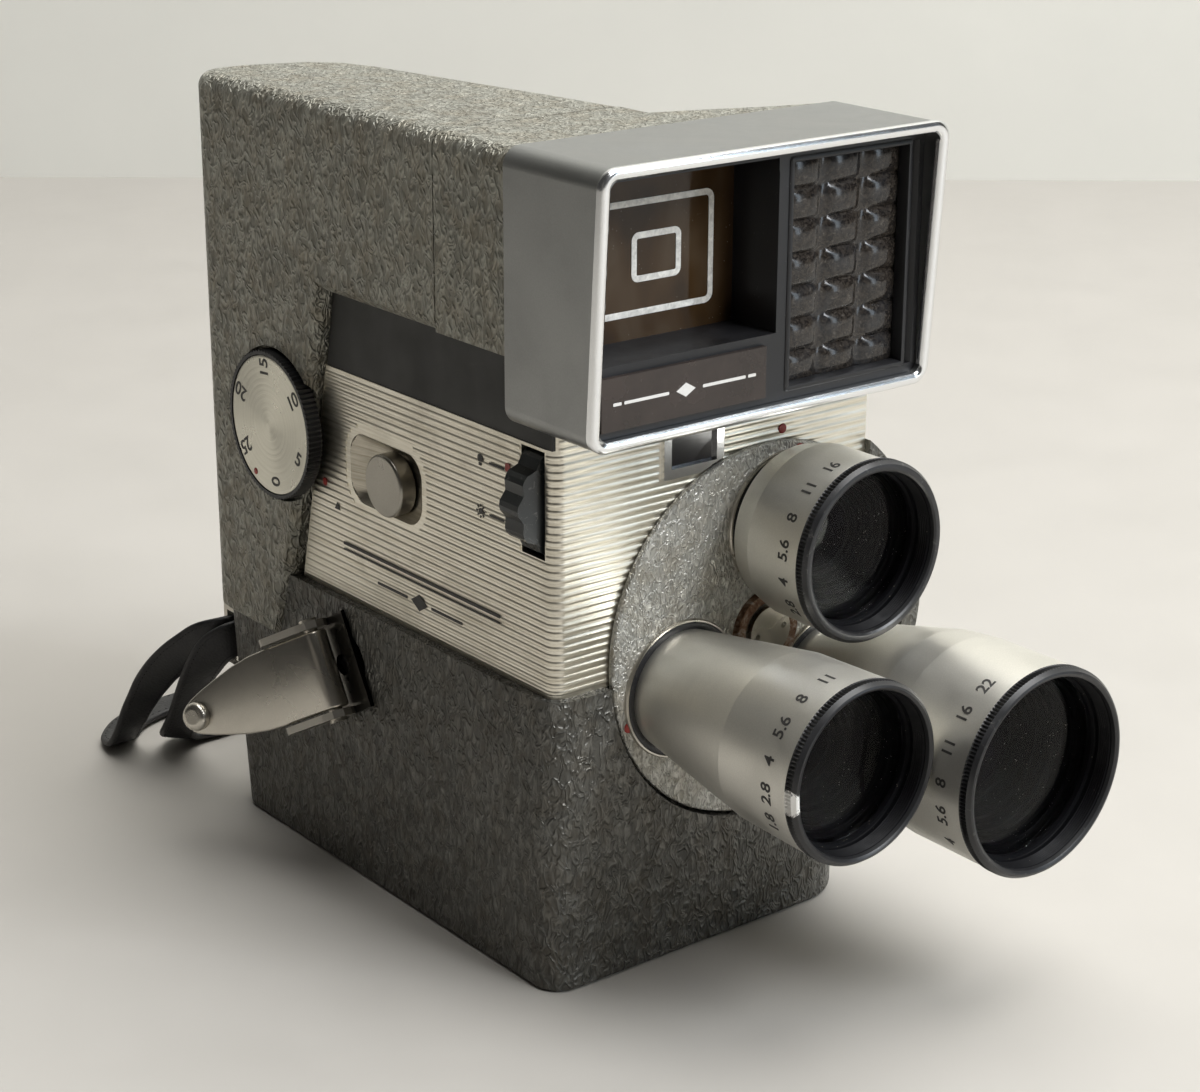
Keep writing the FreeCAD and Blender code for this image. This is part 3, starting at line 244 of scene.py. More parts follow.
def ribbed_plate(name, low=(0.62, 0.57, 0.46), high=(0.88, 0.85, 0.76)):
    """Aged silver-beige aluminium."""
    s = Shader(name, 0.32, 1.0)
    streaks = s.noise(1.0, 4.0, 0.65, source=s.scaled((90.0, 90.0, 2600.0)))
    blotch = s.noise(60.0, 5.0, 0.6, 0.6)
    base = s.ramp(streaks, (0.25, low), (0.75, high))
    base = s.mix(s.level(blotch, 0.5, 0.78, 0.0, 0.4), base, tuple(v * 0.6 for v in low))
    s.colour(base)
    s.rough(s.level(blotch, 0.35, 0.75, 0.28, 0.42))
    s.bump(streaks, 0.2, 0.00003)
    return s.material


def spun_face(name):
    """Spun aluminium, whose glints run out from the middle of its own object."""
    s = Shader(name, 0.24, 1.0, Anisotropic=0.9)
    node = s.nodes.new("ShaderNodeVectorMath")
    node.operation = "LENGTH"
    s.links.new(s.place, node.inputs[0])
    rings = s.noise(6000.0, 3.0, 0.7, source=s.scaled((1, 1, 1), node.outputs["Value"]))
    smudge = s.noise(120.0, 4.0, 0.6, 0.4)
    base = s.ramp(rings, (0.2, (0.50, 0.48, 0.41)), (0.8, (0.80, 0.78, 0.68)))
    base = s.mix(s.level(smudge, 0.6, 0.8, 0.0, 0.1), base, (0.35, 0.32, 0.26))
    s.colour(base)
    s.rough(s.level(smudge, 0.3, 0.7, 0.26, 0.32))
    s.round_axis("X")
    return s.material


def leather(name):
    s = Shader(name, 0.5, Specular_IOR_Level=0.45)
    pores = s.cells(2100.0, "SMOOTH_F1")
    folds = s.noise(420.0, 5.0, 0.6, 0.6)
    base = s.ramp(folds, (0.3, (0.006, 0.006, 0.007)), (0.8, (0.026, 0.025, 0.026)))
    s.colour(base)
    s.rough(s.level(folds, 0.3, 0.7, 0.38, 0.6))
    s.bump(s.maths("MULTIPLY_ADD", folds, 0.6, pores), 0.5, 0.00012)
    return s.material


def rusty(name):
    s = Shader(name, 0.6, 0.55)
    rust = s.noise(700.0, 5.0, 0.7, 0.6)
    low, middle, high = (0.10, 0.045, 0.022), (0.22, 0.13, 0.08), (0.42, 0.38, 0.33)
    s.colour(s.ramp(rust, (0.35, low), (0.5, middle), (0.68, high)))
    s.rough(s.level(rust, 0.3, 0.7, 0.8, 0.42))
    s.bump(rust, 0.7, 0.0001)
    return s.material


def finder_glass_painted_reflection(name):
    """The viewfinder's front glass, with a little dust; its dark brown tone with stretched lighter bands is a
    painted reflection of a dim warm room.
    """
    s = Shader(name, 0.05, Specular_IOR_Level=0.25)
    # Painted reflection: stretched noise gives the lighter brown bands of a dim room seen in the glass.
    tone = s.noise(1.0, 2.0, 0.5, 0.5, source=s.scaled((110.0, 1.0, 60.0)))
    low, middle, high = (0.030, 0.017, 0.008), (0.050, 0.028, 0.012), (0.07, 0.046, 0.026)
    base = s.ramp(tone, (0.35, low), (0.5, middle), (0.62, high))
    dust = s.level(s.cells(1300.0), 0.10, 0.05, 0.0, 0.5)
    sparse = s.maths("MULTIPLY", dust, s.level(s.noise(300.0, 1.0), 0.52, 0.6))
    base = s.mix(sparse, base, (0.5, 0.47, 0.42))
    s.colour(base)
    s.rough(s.level(s.noise(200.0, 4.0), 0.4, 0.7, 0.04, 0.16))
    return s.material


def cell_glass(name):
    """Clear moulded pillows over a dark brown cell."""
    s = Shader(name, 0.12, Specular_IOR_Level=0.4)
    flecks = s.noise(1500.0, 4.0, 0.75, 0.8)
    tone = s.noise(160.0, 3.0, 0.6, 0.5)
    low, middle, high = (0.012, 0.010, 0.009), (0.045, 0.037, 0.03), (0.16, 0.15, 0.14)
    base = s.ramp(flecks, (0.42, low), (0.62, middle), (0.8, high))
    base = s.mix(s.level(tone, 0.45, 0.7, 0.0, 0.5), base, (0.02, 0.024, 0.03))
    s.colour(base)
    s.rough(s.level(flecks, 0.3, 0.7, 0.08, 0.2))
    return s.material


def lens_glass(name):
    """Coated glass that shows the dark tube behind it."""
    s = Shader(name, 0.02, Transmission_Weight=1.0, IOR=1.12, Specular_IOR_Level=0.35)
    dust = s.level(s.cells(1500.0), 0.09, 0.05)
    sparse = s.maths("MULTIPLY", dust, s.level(s.noise(400.0, 1.0), 0.52, 0.6))
    haze = s.level(s.noise(130.0, 4.0, 0.6, 0.8), 0.45, 0.75, 0.0, 0.02)
    s.colour(s.mix(sparse, (0.80, 0.82, 0.80), (0.35, 0.35, 0.33)))
    s.rough(s.maths("ADD", haze, s.maths("MULTIPLY", sparse, 0.5)))
    return s.material


def tube_black(name):
    """Dull black inside a lens tube, with a few dust specks."""
    s = Shader(name, 0.55, Specular_IOR_Level=0.12)
    specks = s.level(s.cells(1100.0), 0.1, 0.05)
    dust = s.maths("MULTIPLY", specks, s.level(s.noise(300.0, 1.0), 0.5, 0.58))
    s.colour(s.mix(dust, (0.004, 0.004, 0.005), (0.22, 0.20, 0.17)))
    s.rough(s.level(s.noise(600.0, 2.0), 0.3, 0.7, 0.45, 0.6))
    return s.material


def dark_glass(name):
    """Small glass with nothing lit behind it."""
    s = Shader(name, 0.05, Coat_Weight=1.0, Coat_Roughness=0.02)
    bloom = s.noise(300.0, 3.0, 0.6, 0.6)
    low, middle, high = (0.004, 0.004, 0.005), (0.012, 0.010, 0.016), (0.03, 0.026, 0.02)
    s.colour(s.ramp(bloom, (0.35, low), (0.6, middle), (0.75, high)))
    s.rough(s.level(bloom, 0.4, 0.7, 0.03, 0.1))
    return s.material


def plain(name, colour, roughness=0.5, metallic=0.0, grain=900.0, spread=0.25, **sockets):
    """A simple finish with a little uneven tone and grain."""
    s = Shader(name, roughness, metallic, **sockets)
    tone = s.noise(grain, 3.0, 0.6, 0.3)
    low = tuple(max(0.0, v * (1 - spread)) for v in colour)
    high = tuple(min(1.0, v * (1 + spread)) for v in colour)
    s.colour(s.ramp(tone, (0.3, low), (0.7, high)))
    s.rough(s.level(tone, 0.3, 0.7, roughness * 0.85, roughness * 1.2))
    s.bump(tone, 0.2, 0.00004)
    return s.material


def chipped(name, point, colour, radius):
    """Black ring finish with a bright chipped patch at one point."""
    s = Shader(name, 0.34)
    cloudy = s.noise(120.0, 4.0, 0.6)
    base = s.ramp(cloudy, (0.3, (0.010, 0.010, 0.011)), (0.8, (0.024, 0.024, 0.026)))
    flakes = s.noise(1500.0, 3.0, 0.7, 1.5)
    mask = s.level(s.maths("MULTIPLY", s.near(point, radius), flakes), 0.16, 0.2)
    s.colour(s.mix(mask, base, colour))
    s.rough(s.level(mask, 0.0, 1.0, 0.34, 0.5))
    s.bump(flakes, 0.2, 0.00005)
    return s.material


def yoke_with_painted_shade(name):
    """Nickel ears and bridge, with painted shade: black is painted on the bridge and the ears' feet down by
    the body, where shade falls.
    """
    s = Shader(name, 0.3, 1.0)
    smudge = s.noise(70.0, 4.0, 0.55, 0.5)
    metal = s.mix(s.level(smudge, 0.52, 0.8, 0.0, 0.4), (0.62, 0.59, 0.53), (0.38, 0.35, 0.30))
    # Painted shade: everything within about 3 mm of the body's side turns black, standing in for the shadow
    # between the key and the body.
    depth = s.level(s.axis(0), at(-3.2, 0, 0).x, at(-2.7, 0, 0).x)
    s.colour(s.mix(depth, metal, (0.006, 0.006, 0.007)))
    s.rough(s.level(smudge, 0.3, 0.7, 0.26, 0.38))
    s.bump(s.noise(5200.0, 2.0, 0.6), 0.2, 0.00003)
    return s.material


PAINT = crinkle_paint("paint_upper", (0.135, 0.130, 0.108), (0.33, 0.325, 0.28))
# Painted shade: the lower body's paint is a darker copy of the upper paint, for the shade on the lower body.
PAINT_LOW_PAINTED_SHADE = crinkle_paint("paint_body_painted_shade", (0.056, 0.054, 0.047), (0.16, 0.157, 0.142))
PAINT_DISC = crinkle_paint("paint_turret", (0.20, 0.20, 0.175), (0.58, 0.57, 0.53), 0.32, 1.7, 0.0002)
HOOD = satin_metal("hood_satin", (0.33, 0.335, 0.33), 0.36, 0.2)
RIM = satin_metal("rim_polished", (0.88, 0.89, 0.90), 0.18, 0.2)
PLATE = ribbed_plate("plate_aluminium")
# Painted shade: the dish's aluminium is a darker copy of the plate's, for the shade inside the hollow.
HOLLOW_PAINTED_SHADE = ribbed_plate("hollow_aluminium_painted_shade", (0.30, 0.27, 0.21), (0.62, 0.58, 0.50))
BARREL = satin_metal("barrel_aluminium", (0.76, 0.74, 0.68), 0.38, 0.3, 0.9)
NICKEL = satin_metal("nickel", (0.56, 0.53, 0.47), 0.27, 0.45)
YOKE_PAINTED_SHADE = yoke_with_painted_shade("yoke_nickel_painted_shade")
STEEL = satin_metal("steel", (0.5, 0.49, 0.47), 0.35, 0.3)
BRASS = satin_metal("brass", (0.66, 0.5, 0.24), 0.34, 0.4)
BLACK_RING = black_finish("ring_black", (0.010, 0.010, 0.011), 0.34, 0.3, 0.2)
TUBE = tube_black("tube_black")
BUTTON = satin_metal("button_metal", (0.36, 0.34, 0.30), 0.3, 0.3)
BLACK_TRIM = black_finish("insert_black", (0.006, 0.006, 0.007), 0.4, 0.6)
BLACK_BAND = black_finish("band_black", (0.010, 0.010, 0.009), 0.5, 0.2)
WHEEL = black_finish("wheel_black", (0.010, 0.012, 0.013), 0.3, 0.2, 0.3)
PANEL = black_finish("panel_brown", (0.020, 0.013, 0.010), 0.25, 0.5)
DARK = black_finish("shutter_black", roughness=0.6)
LEATHER = leather("strap_leather")
DIAL = spun_face("dial_spun")
FINDER_PAINTED_REFLECTION = finder_glass_painted_reflection("finder_glass_painted_reflection")
CELL = cell_glass("cell_glass")
LENS = lens_glass("lens_glass")
DEEP = dark_glass("deep_glass")
WHITE = plain("frame_lines", (0.78, 0.77, 0.73), 0.4)
INK = plain("ink", (0.03, 0.028, 0.026), 0.5)
RED = plain("red_mark", (0.30, 0.025, 0.018), 0.4)
SELENIUM = plain("selenium", (0.05, 0.055, 0.07), 0.3, 0.4)
RUST = rusty("hub_rust")
THREAD = plain("thread_thread", (0.02, 0.02, 0.022), 0.8)


def chip_point():
    """Where the wide lens's ring is chipped: its left edge."""
    middle = centre_of("wide_lens_barrel")
    turn = math.radians(184)
    reach = 14.7 * MM
    y = at(0, -43.6, 0).y
    return Vector((middle.x + reach * math.cos(turn), y, middle.z + reach * math.sin(turn)))


FINISHES = {
    PAINT: ["viewfinder_housing", "front_cap", "film_door"],
    PAINT_LOW_PAINTED_SHADE: ["main_casting"],
    PAINT_DISC: ["turret_disc"],
    HOOD: ["hood"],
    PLATE: ["trim_plate"],
    BLACK_BAND: ["black_band"],
    BLACK_TRIM: ["hood_insert", "eyepiece_ring", "dial_rim"],
    PANEL: ["name_panel"],
    FINDER_PAINTED_REFLECTION: ["finder_window"],
    CELL: ["meter_lens"],
    SELENIUM: ["selenium_cell"],
    RIM: ["exposure_window_frame"],
    DEEP: ["exposure_window_glass", "eyepiece_lens"],
    YOKE_PAINTED_SHADE: ["key_yoke"],
    BUTTON: ["start_button"],
    NICKEL: ["door_latch", "strap_lug", "key_pin", "key_leaf", "key_thumb_stud", "turret_hub_nut"],
    STEEL: [
        "tripod_bush", "base_screws", "turret_spindle", "start_lever", "filter_flag", "winding_shaft",
        "mechanism_plate", "mainspring", "shutter_shaft", "aperture_plate", "pressure_plate",
        "pull_down_claw", "take_up_spindle",
    ],
    RUST: ["turret_hub_ring"],
    BRASS: ["spring_drum", "intermediate_wheel"],
    DARK: ["shutter_disc", "supply_spool", "take_up_spool"],
    DIAL: ["footage_dial"],
    WHEEL: ["filter_wheel"],
    LEATHER: ["wrist_strap"],
}
for material, names in FINISHES.items():
    for name in names:
        NODES[name].data.materials.clear()
        NODES[name].data.materials.append(material)
for lens in ("normal", "wide", "tele"):
    for part, material in (("barrel", BARREL), ("front_ring", BLACK_RING), ("glass", LENS), ("mount", STEEL)):
        mesh = NODES[f"{lens}_lens_{part}"].data
        mesh.materials.clear()
        mesh.materials.append(material)


# ---- mesh helpers

def piece(name, shape, material, body, smooth=40.0, replaced=(), origin=Vector((0, 0, 0))):
    """Make one object from (points, faces), riding a body, with one material, and hide the parts it replaces.
    """
    points, faces = shape
    mesh = bpy.data.meshes.new(name)
    mesh.from_pydata([tuple(p - origin) for p in points], [], faces)
    mesh.validate()
    mesh.update()
    made = placed(name, mesh)
    made.location = origin
    mesh.materials.append(material)
    mesh.shade_smooth()
    mesh.set_sharp_from_angle(angle=math.radians(smooth))
    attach(made, body)
    if replaced:
        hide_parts(*replaced)


def swept(sections, closed=False):
    """Points and faces of a closed tube through rings of points."""
    count = len(sections[0])
    points = [p for section in sections for p in section]
    faces = []
    runs = len(sections) if closed else len(sections) - 1
    for run in range(runs):
        a, b = run * count, (run + 1) % len(sections) * count
        for i in range(count):
            j = (i + 1) % count
            faces.append((a + i, a + j, b + j, b + i))
    if not closed:
        faces.append(tuple(reversed(range(count))))
        last = (len(sections) - 1) * count
        faces.append(tuple(range(last, last + count)))
    return points, faces


def merged(parts):
    points, faces = [], []
    for more_points, more_faces in parts:
        shift = len(points)
        points += more_points
        faces += [tuple(i + shift for i in face) for face in more_faces]
    return points, faces


def spline(knots, share):
    """A Catmull-Rom value through knots at 0 to 1."""
    place = share * (len(knots) - 1)
    i = min(int(place), len(knots) - 2)
    t = place - i
    a = knots[max(i - 1, 0)]
    b, c = knots[i], knots[i + 1]
    d = knots[min(i + 2, len(knots) - 1)]
    square = (2 * a - 5 * b + 4 * c - d) * t * t
    cube = (3 * b - a - 3 * c + d) * t ** 3
    return 0.5 * ((2 * b) + (c - a) * t + square + cube)


# ---- ribbed trim

PITCH = 1.25
RIB_FOOT = 51.9
RIB_WIDTH = 0.44
RIB_PROUD = 0.12
BEND = 2.2
RIB_TOP = 95.2
RIB_END = 0.4  # no rib is shorter
RIB_BENDS = (-1.7, -1.1, -0.55, 0.0, 0.55, 1.1, 1.7)
RIB_HALF = [(0.0, 1.0), (0.5, 0.82), (0.92, 0.05), (1.0, -0.05)]
RIB_PROFILE = [(-side, out) for side, out in reversed(RIB_HALF[1:])] + RIB_HALF
PLATE_FOOT = 51.5
PLATE_TOP = 92.2  # on the left; the front runs up behind the hood
PLATE_REAR = 73.8  # at the foot
PLATE_SLANT = 9.7 / 41.0
PLATE_END = 65.6  # on the right
DISH_GAP = (34.4, 58.6, 68.9, 84.1, 5.6)  # front, rear, foot, top, corner radius
HOLE_CENTRE = (42.9, 54.2)
HOLE_RADIUS = 31.6


def cut_out(spans, low, high):
    """Take one interval out of a list of intervals."""
    kept = []
    for a, b in spans:
        if high <= a or low >= b:
            kept.append((a, b))
            continue
        if low > a:
            kept.append((a, low))
        if high < b:
            kept.append((high, b))
    return [(a, b) for a, b in kept if b - a > RIB_END]


def rounded_gap(z, low, high, bottom, top, radius):
    """How far a rounded rectangle reaches at a height, or None."""
    if not bottom < z < top:
        return None
    edge = min(z - bottom, top - z)
    inset = radius - math.sqrt(max(0.0, radius ** 2 - (radius - edge) ** 2)) if edge < radius else 0.0
    return low + inset, high - inset


def rib_spans(z):
    """Where a rib runs at a height: negative along the left side, positive along the front."""
    rear = PLATE_REAR - (z - PLATE_FOOT) * PLATE_SLANT
    spans = [(-rear + 0.5, PLATE_END)] if z < PLATE_TOP else [(1.2, PLATE_END)]
    dish = rounded_gap(z, *DISH_GAP)
    if dish:
        spans = cut_out(spans, -dish[1], -dish[0])
    if 74.0 < z < 92.4:
        spans = cut_out(spans, -8.5, -1.9)
    height = z - HOLE_CENTRE[1]
    if abs(height) < HOLE_RADIUS:
        reach = math.sqrt(HOLE_RADIUS ** 2 - height ** 2)
        spans = cut_out(spans, HOLE_CENTRE[0] - reach, HOLE_CENTRE[0] + reach)
    if z > 83.6:
        spans = cut_out(spans, 20.9, 34.1)
    return spans


def plate_point(along, out, z):
    """A point on the plate's folded surface, by its distance from the corner."""
    arc = BEND * math.pi / 2
    if along < -arc / 2:
        return at(-out, BEND - arc / 2 - along, z)
    if along > arc / 2:
        return at(BEND - arc / 2 + along, -out, z)
    turn = (along + arc / 2) / BEND
    reach = BEND + out
    return at(BEND - reach * math.cos(turn), BEND - reach * math.sin(turn), z)


def make_ribs():
    shift = BEND - BEND * math.pi / 4
    parts = []
    z = RIB_FOOT + PITCH / 2
    while z < RIB_TOP:
        for low, high in rib_spans(z):
            low += shift if low < 0 else -shift
            high += shift if high < 0 else -shift
            bends = [step for step in RIB_BENDS if low < step < high]
            sections = []
            for step in [low] + bends + [high]:
                edge = [plate_point(step, out * RIB_PROUD, z + side * RIB_WIDTH) for side, out in RIB_PROFILE]
                sections.append(edge)
            parts.append(swept(sections))
        z += PITCH
    piece("trim_ribs", merged(parts), PLATE, "camera", 60.0)


make_ribs()


# ---- printed marks

def glyphs(text, size, weight=0.0):
    """Flat closed letters about the origin, as points and faces."""
    data = bpy.data.curves.new("glyphs", "FONT")
    data.body = text
    data.size = size * MM
    data.offset = weight * MM
    data.extrude = 0.02 * MM
    data.align_x = "CENTER"
    data.align_y = "CENTER"
    holder = placed("glyphs", data)
    bpy.context.view_layer.update()
    mesh = bpy.data.meshes.new_from_object(holder)
    points = [v.co.copy() for v in mesh.vertices]
    faces = [tuple(p.vertices) for p in mesh.polygons]
    bpy.data.objects.remove(holder)
    bpy.data.curves.remove(data)
    bpy.data.meshes.remove(mesh)
    return points, faces


def laid(shape, place, right, up):
    """Move flat points onto a plane."""
    points, faces = shape
    out = right.cross(up)
    return [place + right * p.x + up * p.y + out * p.z for p in points], faces


def bar(width, height, depth=0.04):
    """A small flat block with cut corners, about the origin."""
    w, h, d, c = width * MM / 2, height * MM / 2, depth * MM / 2, min(width, height) * MM * 0.2
    outline = [(-w + c, -h), (w - c, -h), (w, -h + c), (w, h - c)]
    outline += [(w - c, h), (-w + c, h), (-w, h - c), (-w, -h + c)]
    return swept([[Vector((x, y, side)) for x, y in outline] for side in (-d, d)])


DISC_SIDES = 24


def disc(radius, depth):
    """A small button with a rounded face, about the origin."""
    rings = []
    for reach, rise in ((1.0, 0.0), (1.0, 0.35), (0.9, 0.75), (0.6, 0.95), (0.2, 1.0)):
        ring = []
        for i in range(DISC_SIDES):
            turn = 2 * math.pi * i / DISC_SIDES
            out = radius * MM * reach
            ring.append(Vector((out * math.cos(turn), out * math.sin(turn), depth * MM * rise)))
        rings.append(ring)
    return swept(rings)


def lathe(profile, centre, axis, steps=96):
    """A closed profile of (distance along the axis, radius, tooth depth) turned round an axis."""
    across = Vector((0, 0, 1))
    other = axis.cross(across)
    sections = []
    for step in range(steps):
        turn = 2 * math.pi * step / steps
        radial = across * math.cos(turn) + other * math.sin(turn)
        ring = []
        for along, radius, depth in profile:
            reach = radius - (depth if step % 2 else 0.0)
            ring.append(centre + axis * along * MM + radial * reach * MM)
        sections.append(ring)
    return swept(sections, True)


DIAL_NUMBERS = [
    ("0", -82, 10.1), ("5", -24, 10.2), ("10", 36, 10.2),
    ("15", 95, 10.2), ("20", 155, 10.1), ("25", 214, 10.0),
]


def dial_marks():
    """The grooved dial face, and its numbers (text, degrees, radius) and dot."""
    low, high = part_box("footage_dial")
    middle = (low + high) / 2
    middle.x = low.x
    thick = (high.x - low.x) / MM
    profile = [(thick, 0.02, 0), (thick, 12.45, 0), (0.25, 12.45, 0), (0.06, 12.35, 0), (0.0, 12.1, 0)]
    for groove in range(11, 0, -1):
        profile += [(0.0, groove * 1.05 + 0.12, 0), (0.012, groove * 1.05, 0), (0.0, groove * 1.05 - 0.12, 0)]
    profile.append((0.0, 0.02, 0))
    face = lathe(profile, middle, Vector((1, 0, 0)), 120)
    piece("dial_face", face, DIAL, "footage_counter", 30.0, ("footage_dial",), middle)
    parts = []
    for text, angle, reach in DIAL_NUMBERS:
        turn = math.radians(angle)
        # Seen from the left, the dial's right is -Y. The numbers read outwards.
        out = Vector((0, -math.cos(turn), math.sin(turn)))
        up = Vector((0, math.sin(turn), math.cos(turn)))
        place = middle + out * reach * MM - Vector((0.03 * MM, 0, 0))
        parts.append(laid(glyphs(text, 3.7, 0.05), place, out, up))
    piece("dial_numbers", merged(parts), INK, "footage_counter", 30.0)
    turn = math.radians(-118)
    spot = middle + Vector((0, -math.cos(turn), math.sin(turn))) * 11.0 * MM
    dot = laid(disc(0.6, 0.12), spot, Vector((0, -1, 0)), UP)
    piece("dial_dot", dot, RED, "footage_counter")


def side_mark(shape, y, z):
    return laid(shape, at(-RIB_PROUD - 0.05, y, z), Vector((0, -1, 0)), UP)


def front_mark(shape, x, z, y=0.0):
    return laid(shape, at(x, y - 0.05, z), Vector((1, 0, 0)), UP)


def polygon(corners):
    d = 0.04 * MM / 2
    return swept([[Vector((x * MM, y * MM, side)) for x, y in corners] for side in (-d, d)])


def sun_sign(size):
    core = size * 0.42
    turns = [i * math.pi / 10 for i in range(20)]
    parts = [polygon([(core * math.cos(a), core * math.sin(a)) for a in turns])]
    for i in range(8):
        a = i * math.pi / 4
        out = Vector((math.cos(a), math.sin(a), 0))
        across = Vector((-out.y, out.x, 0)) * 0.13 * size
        near, far = out * 0.6 * size, out * size
        corners = [near - across, far - across, far + across, near + across]
        parts.append(polygon([(c.x, c.y) for c in corners]))
    return merged(parts)


def lamp_sign(size):
    turns = [math.pi * (-0.3 + i * 0.1) for i in range(17)]
    bulb = [(size * 0.55 * math.cos(a), size * 0.2 + size * 0.55 * math.sin(a)) for a in turns]
    w, low, high = 0.28 * size, -0.75 * size, -0.35 * size
    return merged([polygon(bulb), polygon([(-w, low), (w, low), (w, high), (-w, high)])])


def plate_marks():
    """Plain signs where the camera has its labels."""
    marks = [side_mark(bar(46.0, 0.55), 37.0, 61.6), side_mark(bar(46.0, 0.28), 37.0, 60.5)]
    diamond = [(0, 1.5), (2.4, 0), (0, -1.5), (-2.4, 0)]
    marks.append(side_mark(polygon(diamond), 37.0, 57.2))
    for way in (-1, 1):
        marks.append(side_mark(bar(9.0, 0.5), 37.0 + way * 8.0, 57.2))
    marks.append(side_mark(lamp_sign(1.3), 19.0, 86.8))
    marks.append(side_mark(sun_sign(1.2), 19.0, 78.2))
    marks.append(side_mark(bar(4.0, 0.35), 14.6, 86.8))
    marks.append(side_mark(bar(4.0, 0.35), 14.6, 78.2))
    marks.append(side_mark(polygon([(-0.9, -0.6), (0.9, -0.6), (0, 0.8)]), 61.6, 67.8))
    piece("plate_signs", merged(marks), INK, "camera", 30.0)
    dots = [side_mark(bar(1.3, 1.4, 0.08), 11.6, 87.3), side_mark(bar(1.1, 1.3, 0.08), 65.4, 71.3)]
    dots.append(front_mark(disc(0.85, 0.3), 46.8, 87.9))
    piece("plate_dots", merged(dots), RED, "camera")
    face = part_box("turret_disc")[0].y
    spots = []
    for x, z in ((49.6, 84.2), (14.1, 43.9)):
        place = at(x, 0, z)
        place.y = face
        spots.append(laid(disc(0.95, 0.3), place, Vector((1, 0, 0)), UP))
    piece("turret_dots", merged(spots), RED, "turret")


def wrapped(shape, centre, radius_at, y, degrees):
    """Bend flat letters round a barrel; their tops point to the rear."""
    points, faces = shape
    bent = []
    for p in points:
        along = y + p.y / MM
        reach = (radius_at(along) + 0.03) * MM + p.z
        turn = math.radians(degrees) - p.x / (radius_at(along) * MM)
        x, z = centre.x + reach * math.cos(turn), centre.z + reach * math.sin(turn)
        bent.append(Vector((x, CORNER.y + along * MM, z)))
    return bent, faces


# Each lens: (y, radius) at both ends of its marked part, then the marks' y, size, texts, angle and step.
LENS_SCALES = [
    ("normal", [(-9.0, 14.6), (-20.8, 14.6)], -17.4, 2.9, ("2.8", "4", "5.6", "8", "11", "16"), 214, 21),
    ("wide", [(-27.0, 14.2), (-42.6, 14.7)], -38.4, 3.0, ("1.8", "2.8", "4", "5.6", "8", "11"), 206, 21),
    ("tele", [(-34.0, 17.2), (-50.0, 17.3)], -46.0, 3.0, ("4", "5.6", "8", "11", "16", "22"), 214, 19),
]


def lens_numbers():
    for name, outline, y, size, texts, first, gap in LENS_SCALES:
        (y0, r0), (y1, r1) = outline
        centre = centre_of(f"{name}_lens_barrel")

        def radius_at(v):
            return r0 + (r1 - r0) * (v - y0) / (y1 - y0)

        parts = []
        for index, text in enumerate(texts):
            degrees = first - index * gap
            parts.append(wrapped(glyphs(text, size, 0.05), centre, radius_at, y, degrees))
        piece(f"{name}_lens_numbers", merged(parts), INK, "turret", 30.0)


# Each lens: its front ring's radius, the barrel's radius, and the radius and y of the funnel's narrow end.
RINGS = [
    ("normal", 15.1, 14.6, 5.8, -10.0), ("wide", 14.8, 14.7, 5.8, -30.0), ("tele", 17.5, 17.3, 8.5, -36.0),
]
REARWARD = Vector((0, 1, 0))
RING_LENGTH = 2.3
TUBE_INSET = 1.55  # from the barrel's outside to the tube's bore
SEAT = 6.62  # behind the ring's front, where the funnel begins
GLASS_EDGE = 5.3
GLASS_BACK = 6.55
BULGE = 1.3
AXIS_GAP = 0.02
SEAT_BLACK = [(0.05, 9.0), (0.05, 11.35), (-0.5, 11.35), (-0.62, 11.1), (-0.62, 10.55), (-0.3, 9.4)]
SEAT_BEAD = [(0.05, 11.3), (0.05, 11.9), (-0.25, 11.9), (-0.52, 11.72), (-0.55, 11.45), (-0.4, 11.3)]


def smooth_profile(pairs):
    return [(along, radius, 0) for along, radius in pairs]


def ring_profile(radius, bore):
    """The knurled ring: (distance behind its front, radius, tooth depth)."""
    length = RING_LENGTH
    outer = [(length, bore + 0.6, 0), (length, radius - 0.3, 0), (length - 0.12, radius, 0)]
    outer += [(length - 0.3, radius, 0.3), (1.05, radius, 0.3), (0.8, radius - 0.05, 0)]
    outer += [(0.5, radius - 0.3, 0), (0.12, radius - 0.55, 0), (0.0, radius - 0.9, 0)]
    lip = [(0.06, bore + 0.62), (0.3, bore + 0.3), (0.9, bore + 0.12), (0.9, bore + 0.6)]
    return outer + smooth_profile(lip)


def tube_profile(bore, inner, end):
    """The threaded tube with a shoulder for the glass, and the stepped funnel behind it."""
    wall = [(0.95, bore + 0.58), (0.9, bore + 0.12)]
    for thread in range(6):
        wall += [(1.1 + thread * 0.42, bore + 0.1), (1.3 + thread * 0.42, bore - 0.08)]
    wall += [(4.2, bore), (4.4, bore - 0.1), (4.5, bore - 0.55), (5.2, bore - 0.6), (5.25, bore)]
    wall += [(6.6, bore), (SEAT, bore - 0.8)]
    steps, start, wide = 9, 6.7, bore - 0.8
    for step in range(steps):
        y0 = start + (end - start) * step / steps
        y1 = start + (end - start) * (step + 1) / steps
        r0 = wide + (inner - wide) * step / steps
        r1 = wide + (inner - wide) * (step + 1) / steps
        wall += [(y0 + 0.08, r0), (y1 - 0.16, r0 - 0.03), (y1 - 0.02, r0 - 0.14), (y1, r1 + 0.1)]
    wall += [(end + 1.5, inner), (end + 1.5, inner + 1.6), (RING_LENGTH + 6.8, bore + 0.6)]
    return smooth_profile(wall)


def glass_profile(back, edge, radius, bulge, steps):
    """A lens that is flat behind and domed in front."""
    glass = [(back, AXIS_GAP), (back, radius), (edge, radius)]
    for step in range(1, steps + 1):
        share = 1 - step / steps
        glass.append((edge - bulge * (1 - share * share), max(AXIS_GAP, radius * share)))
    return smooth_profile(glass)


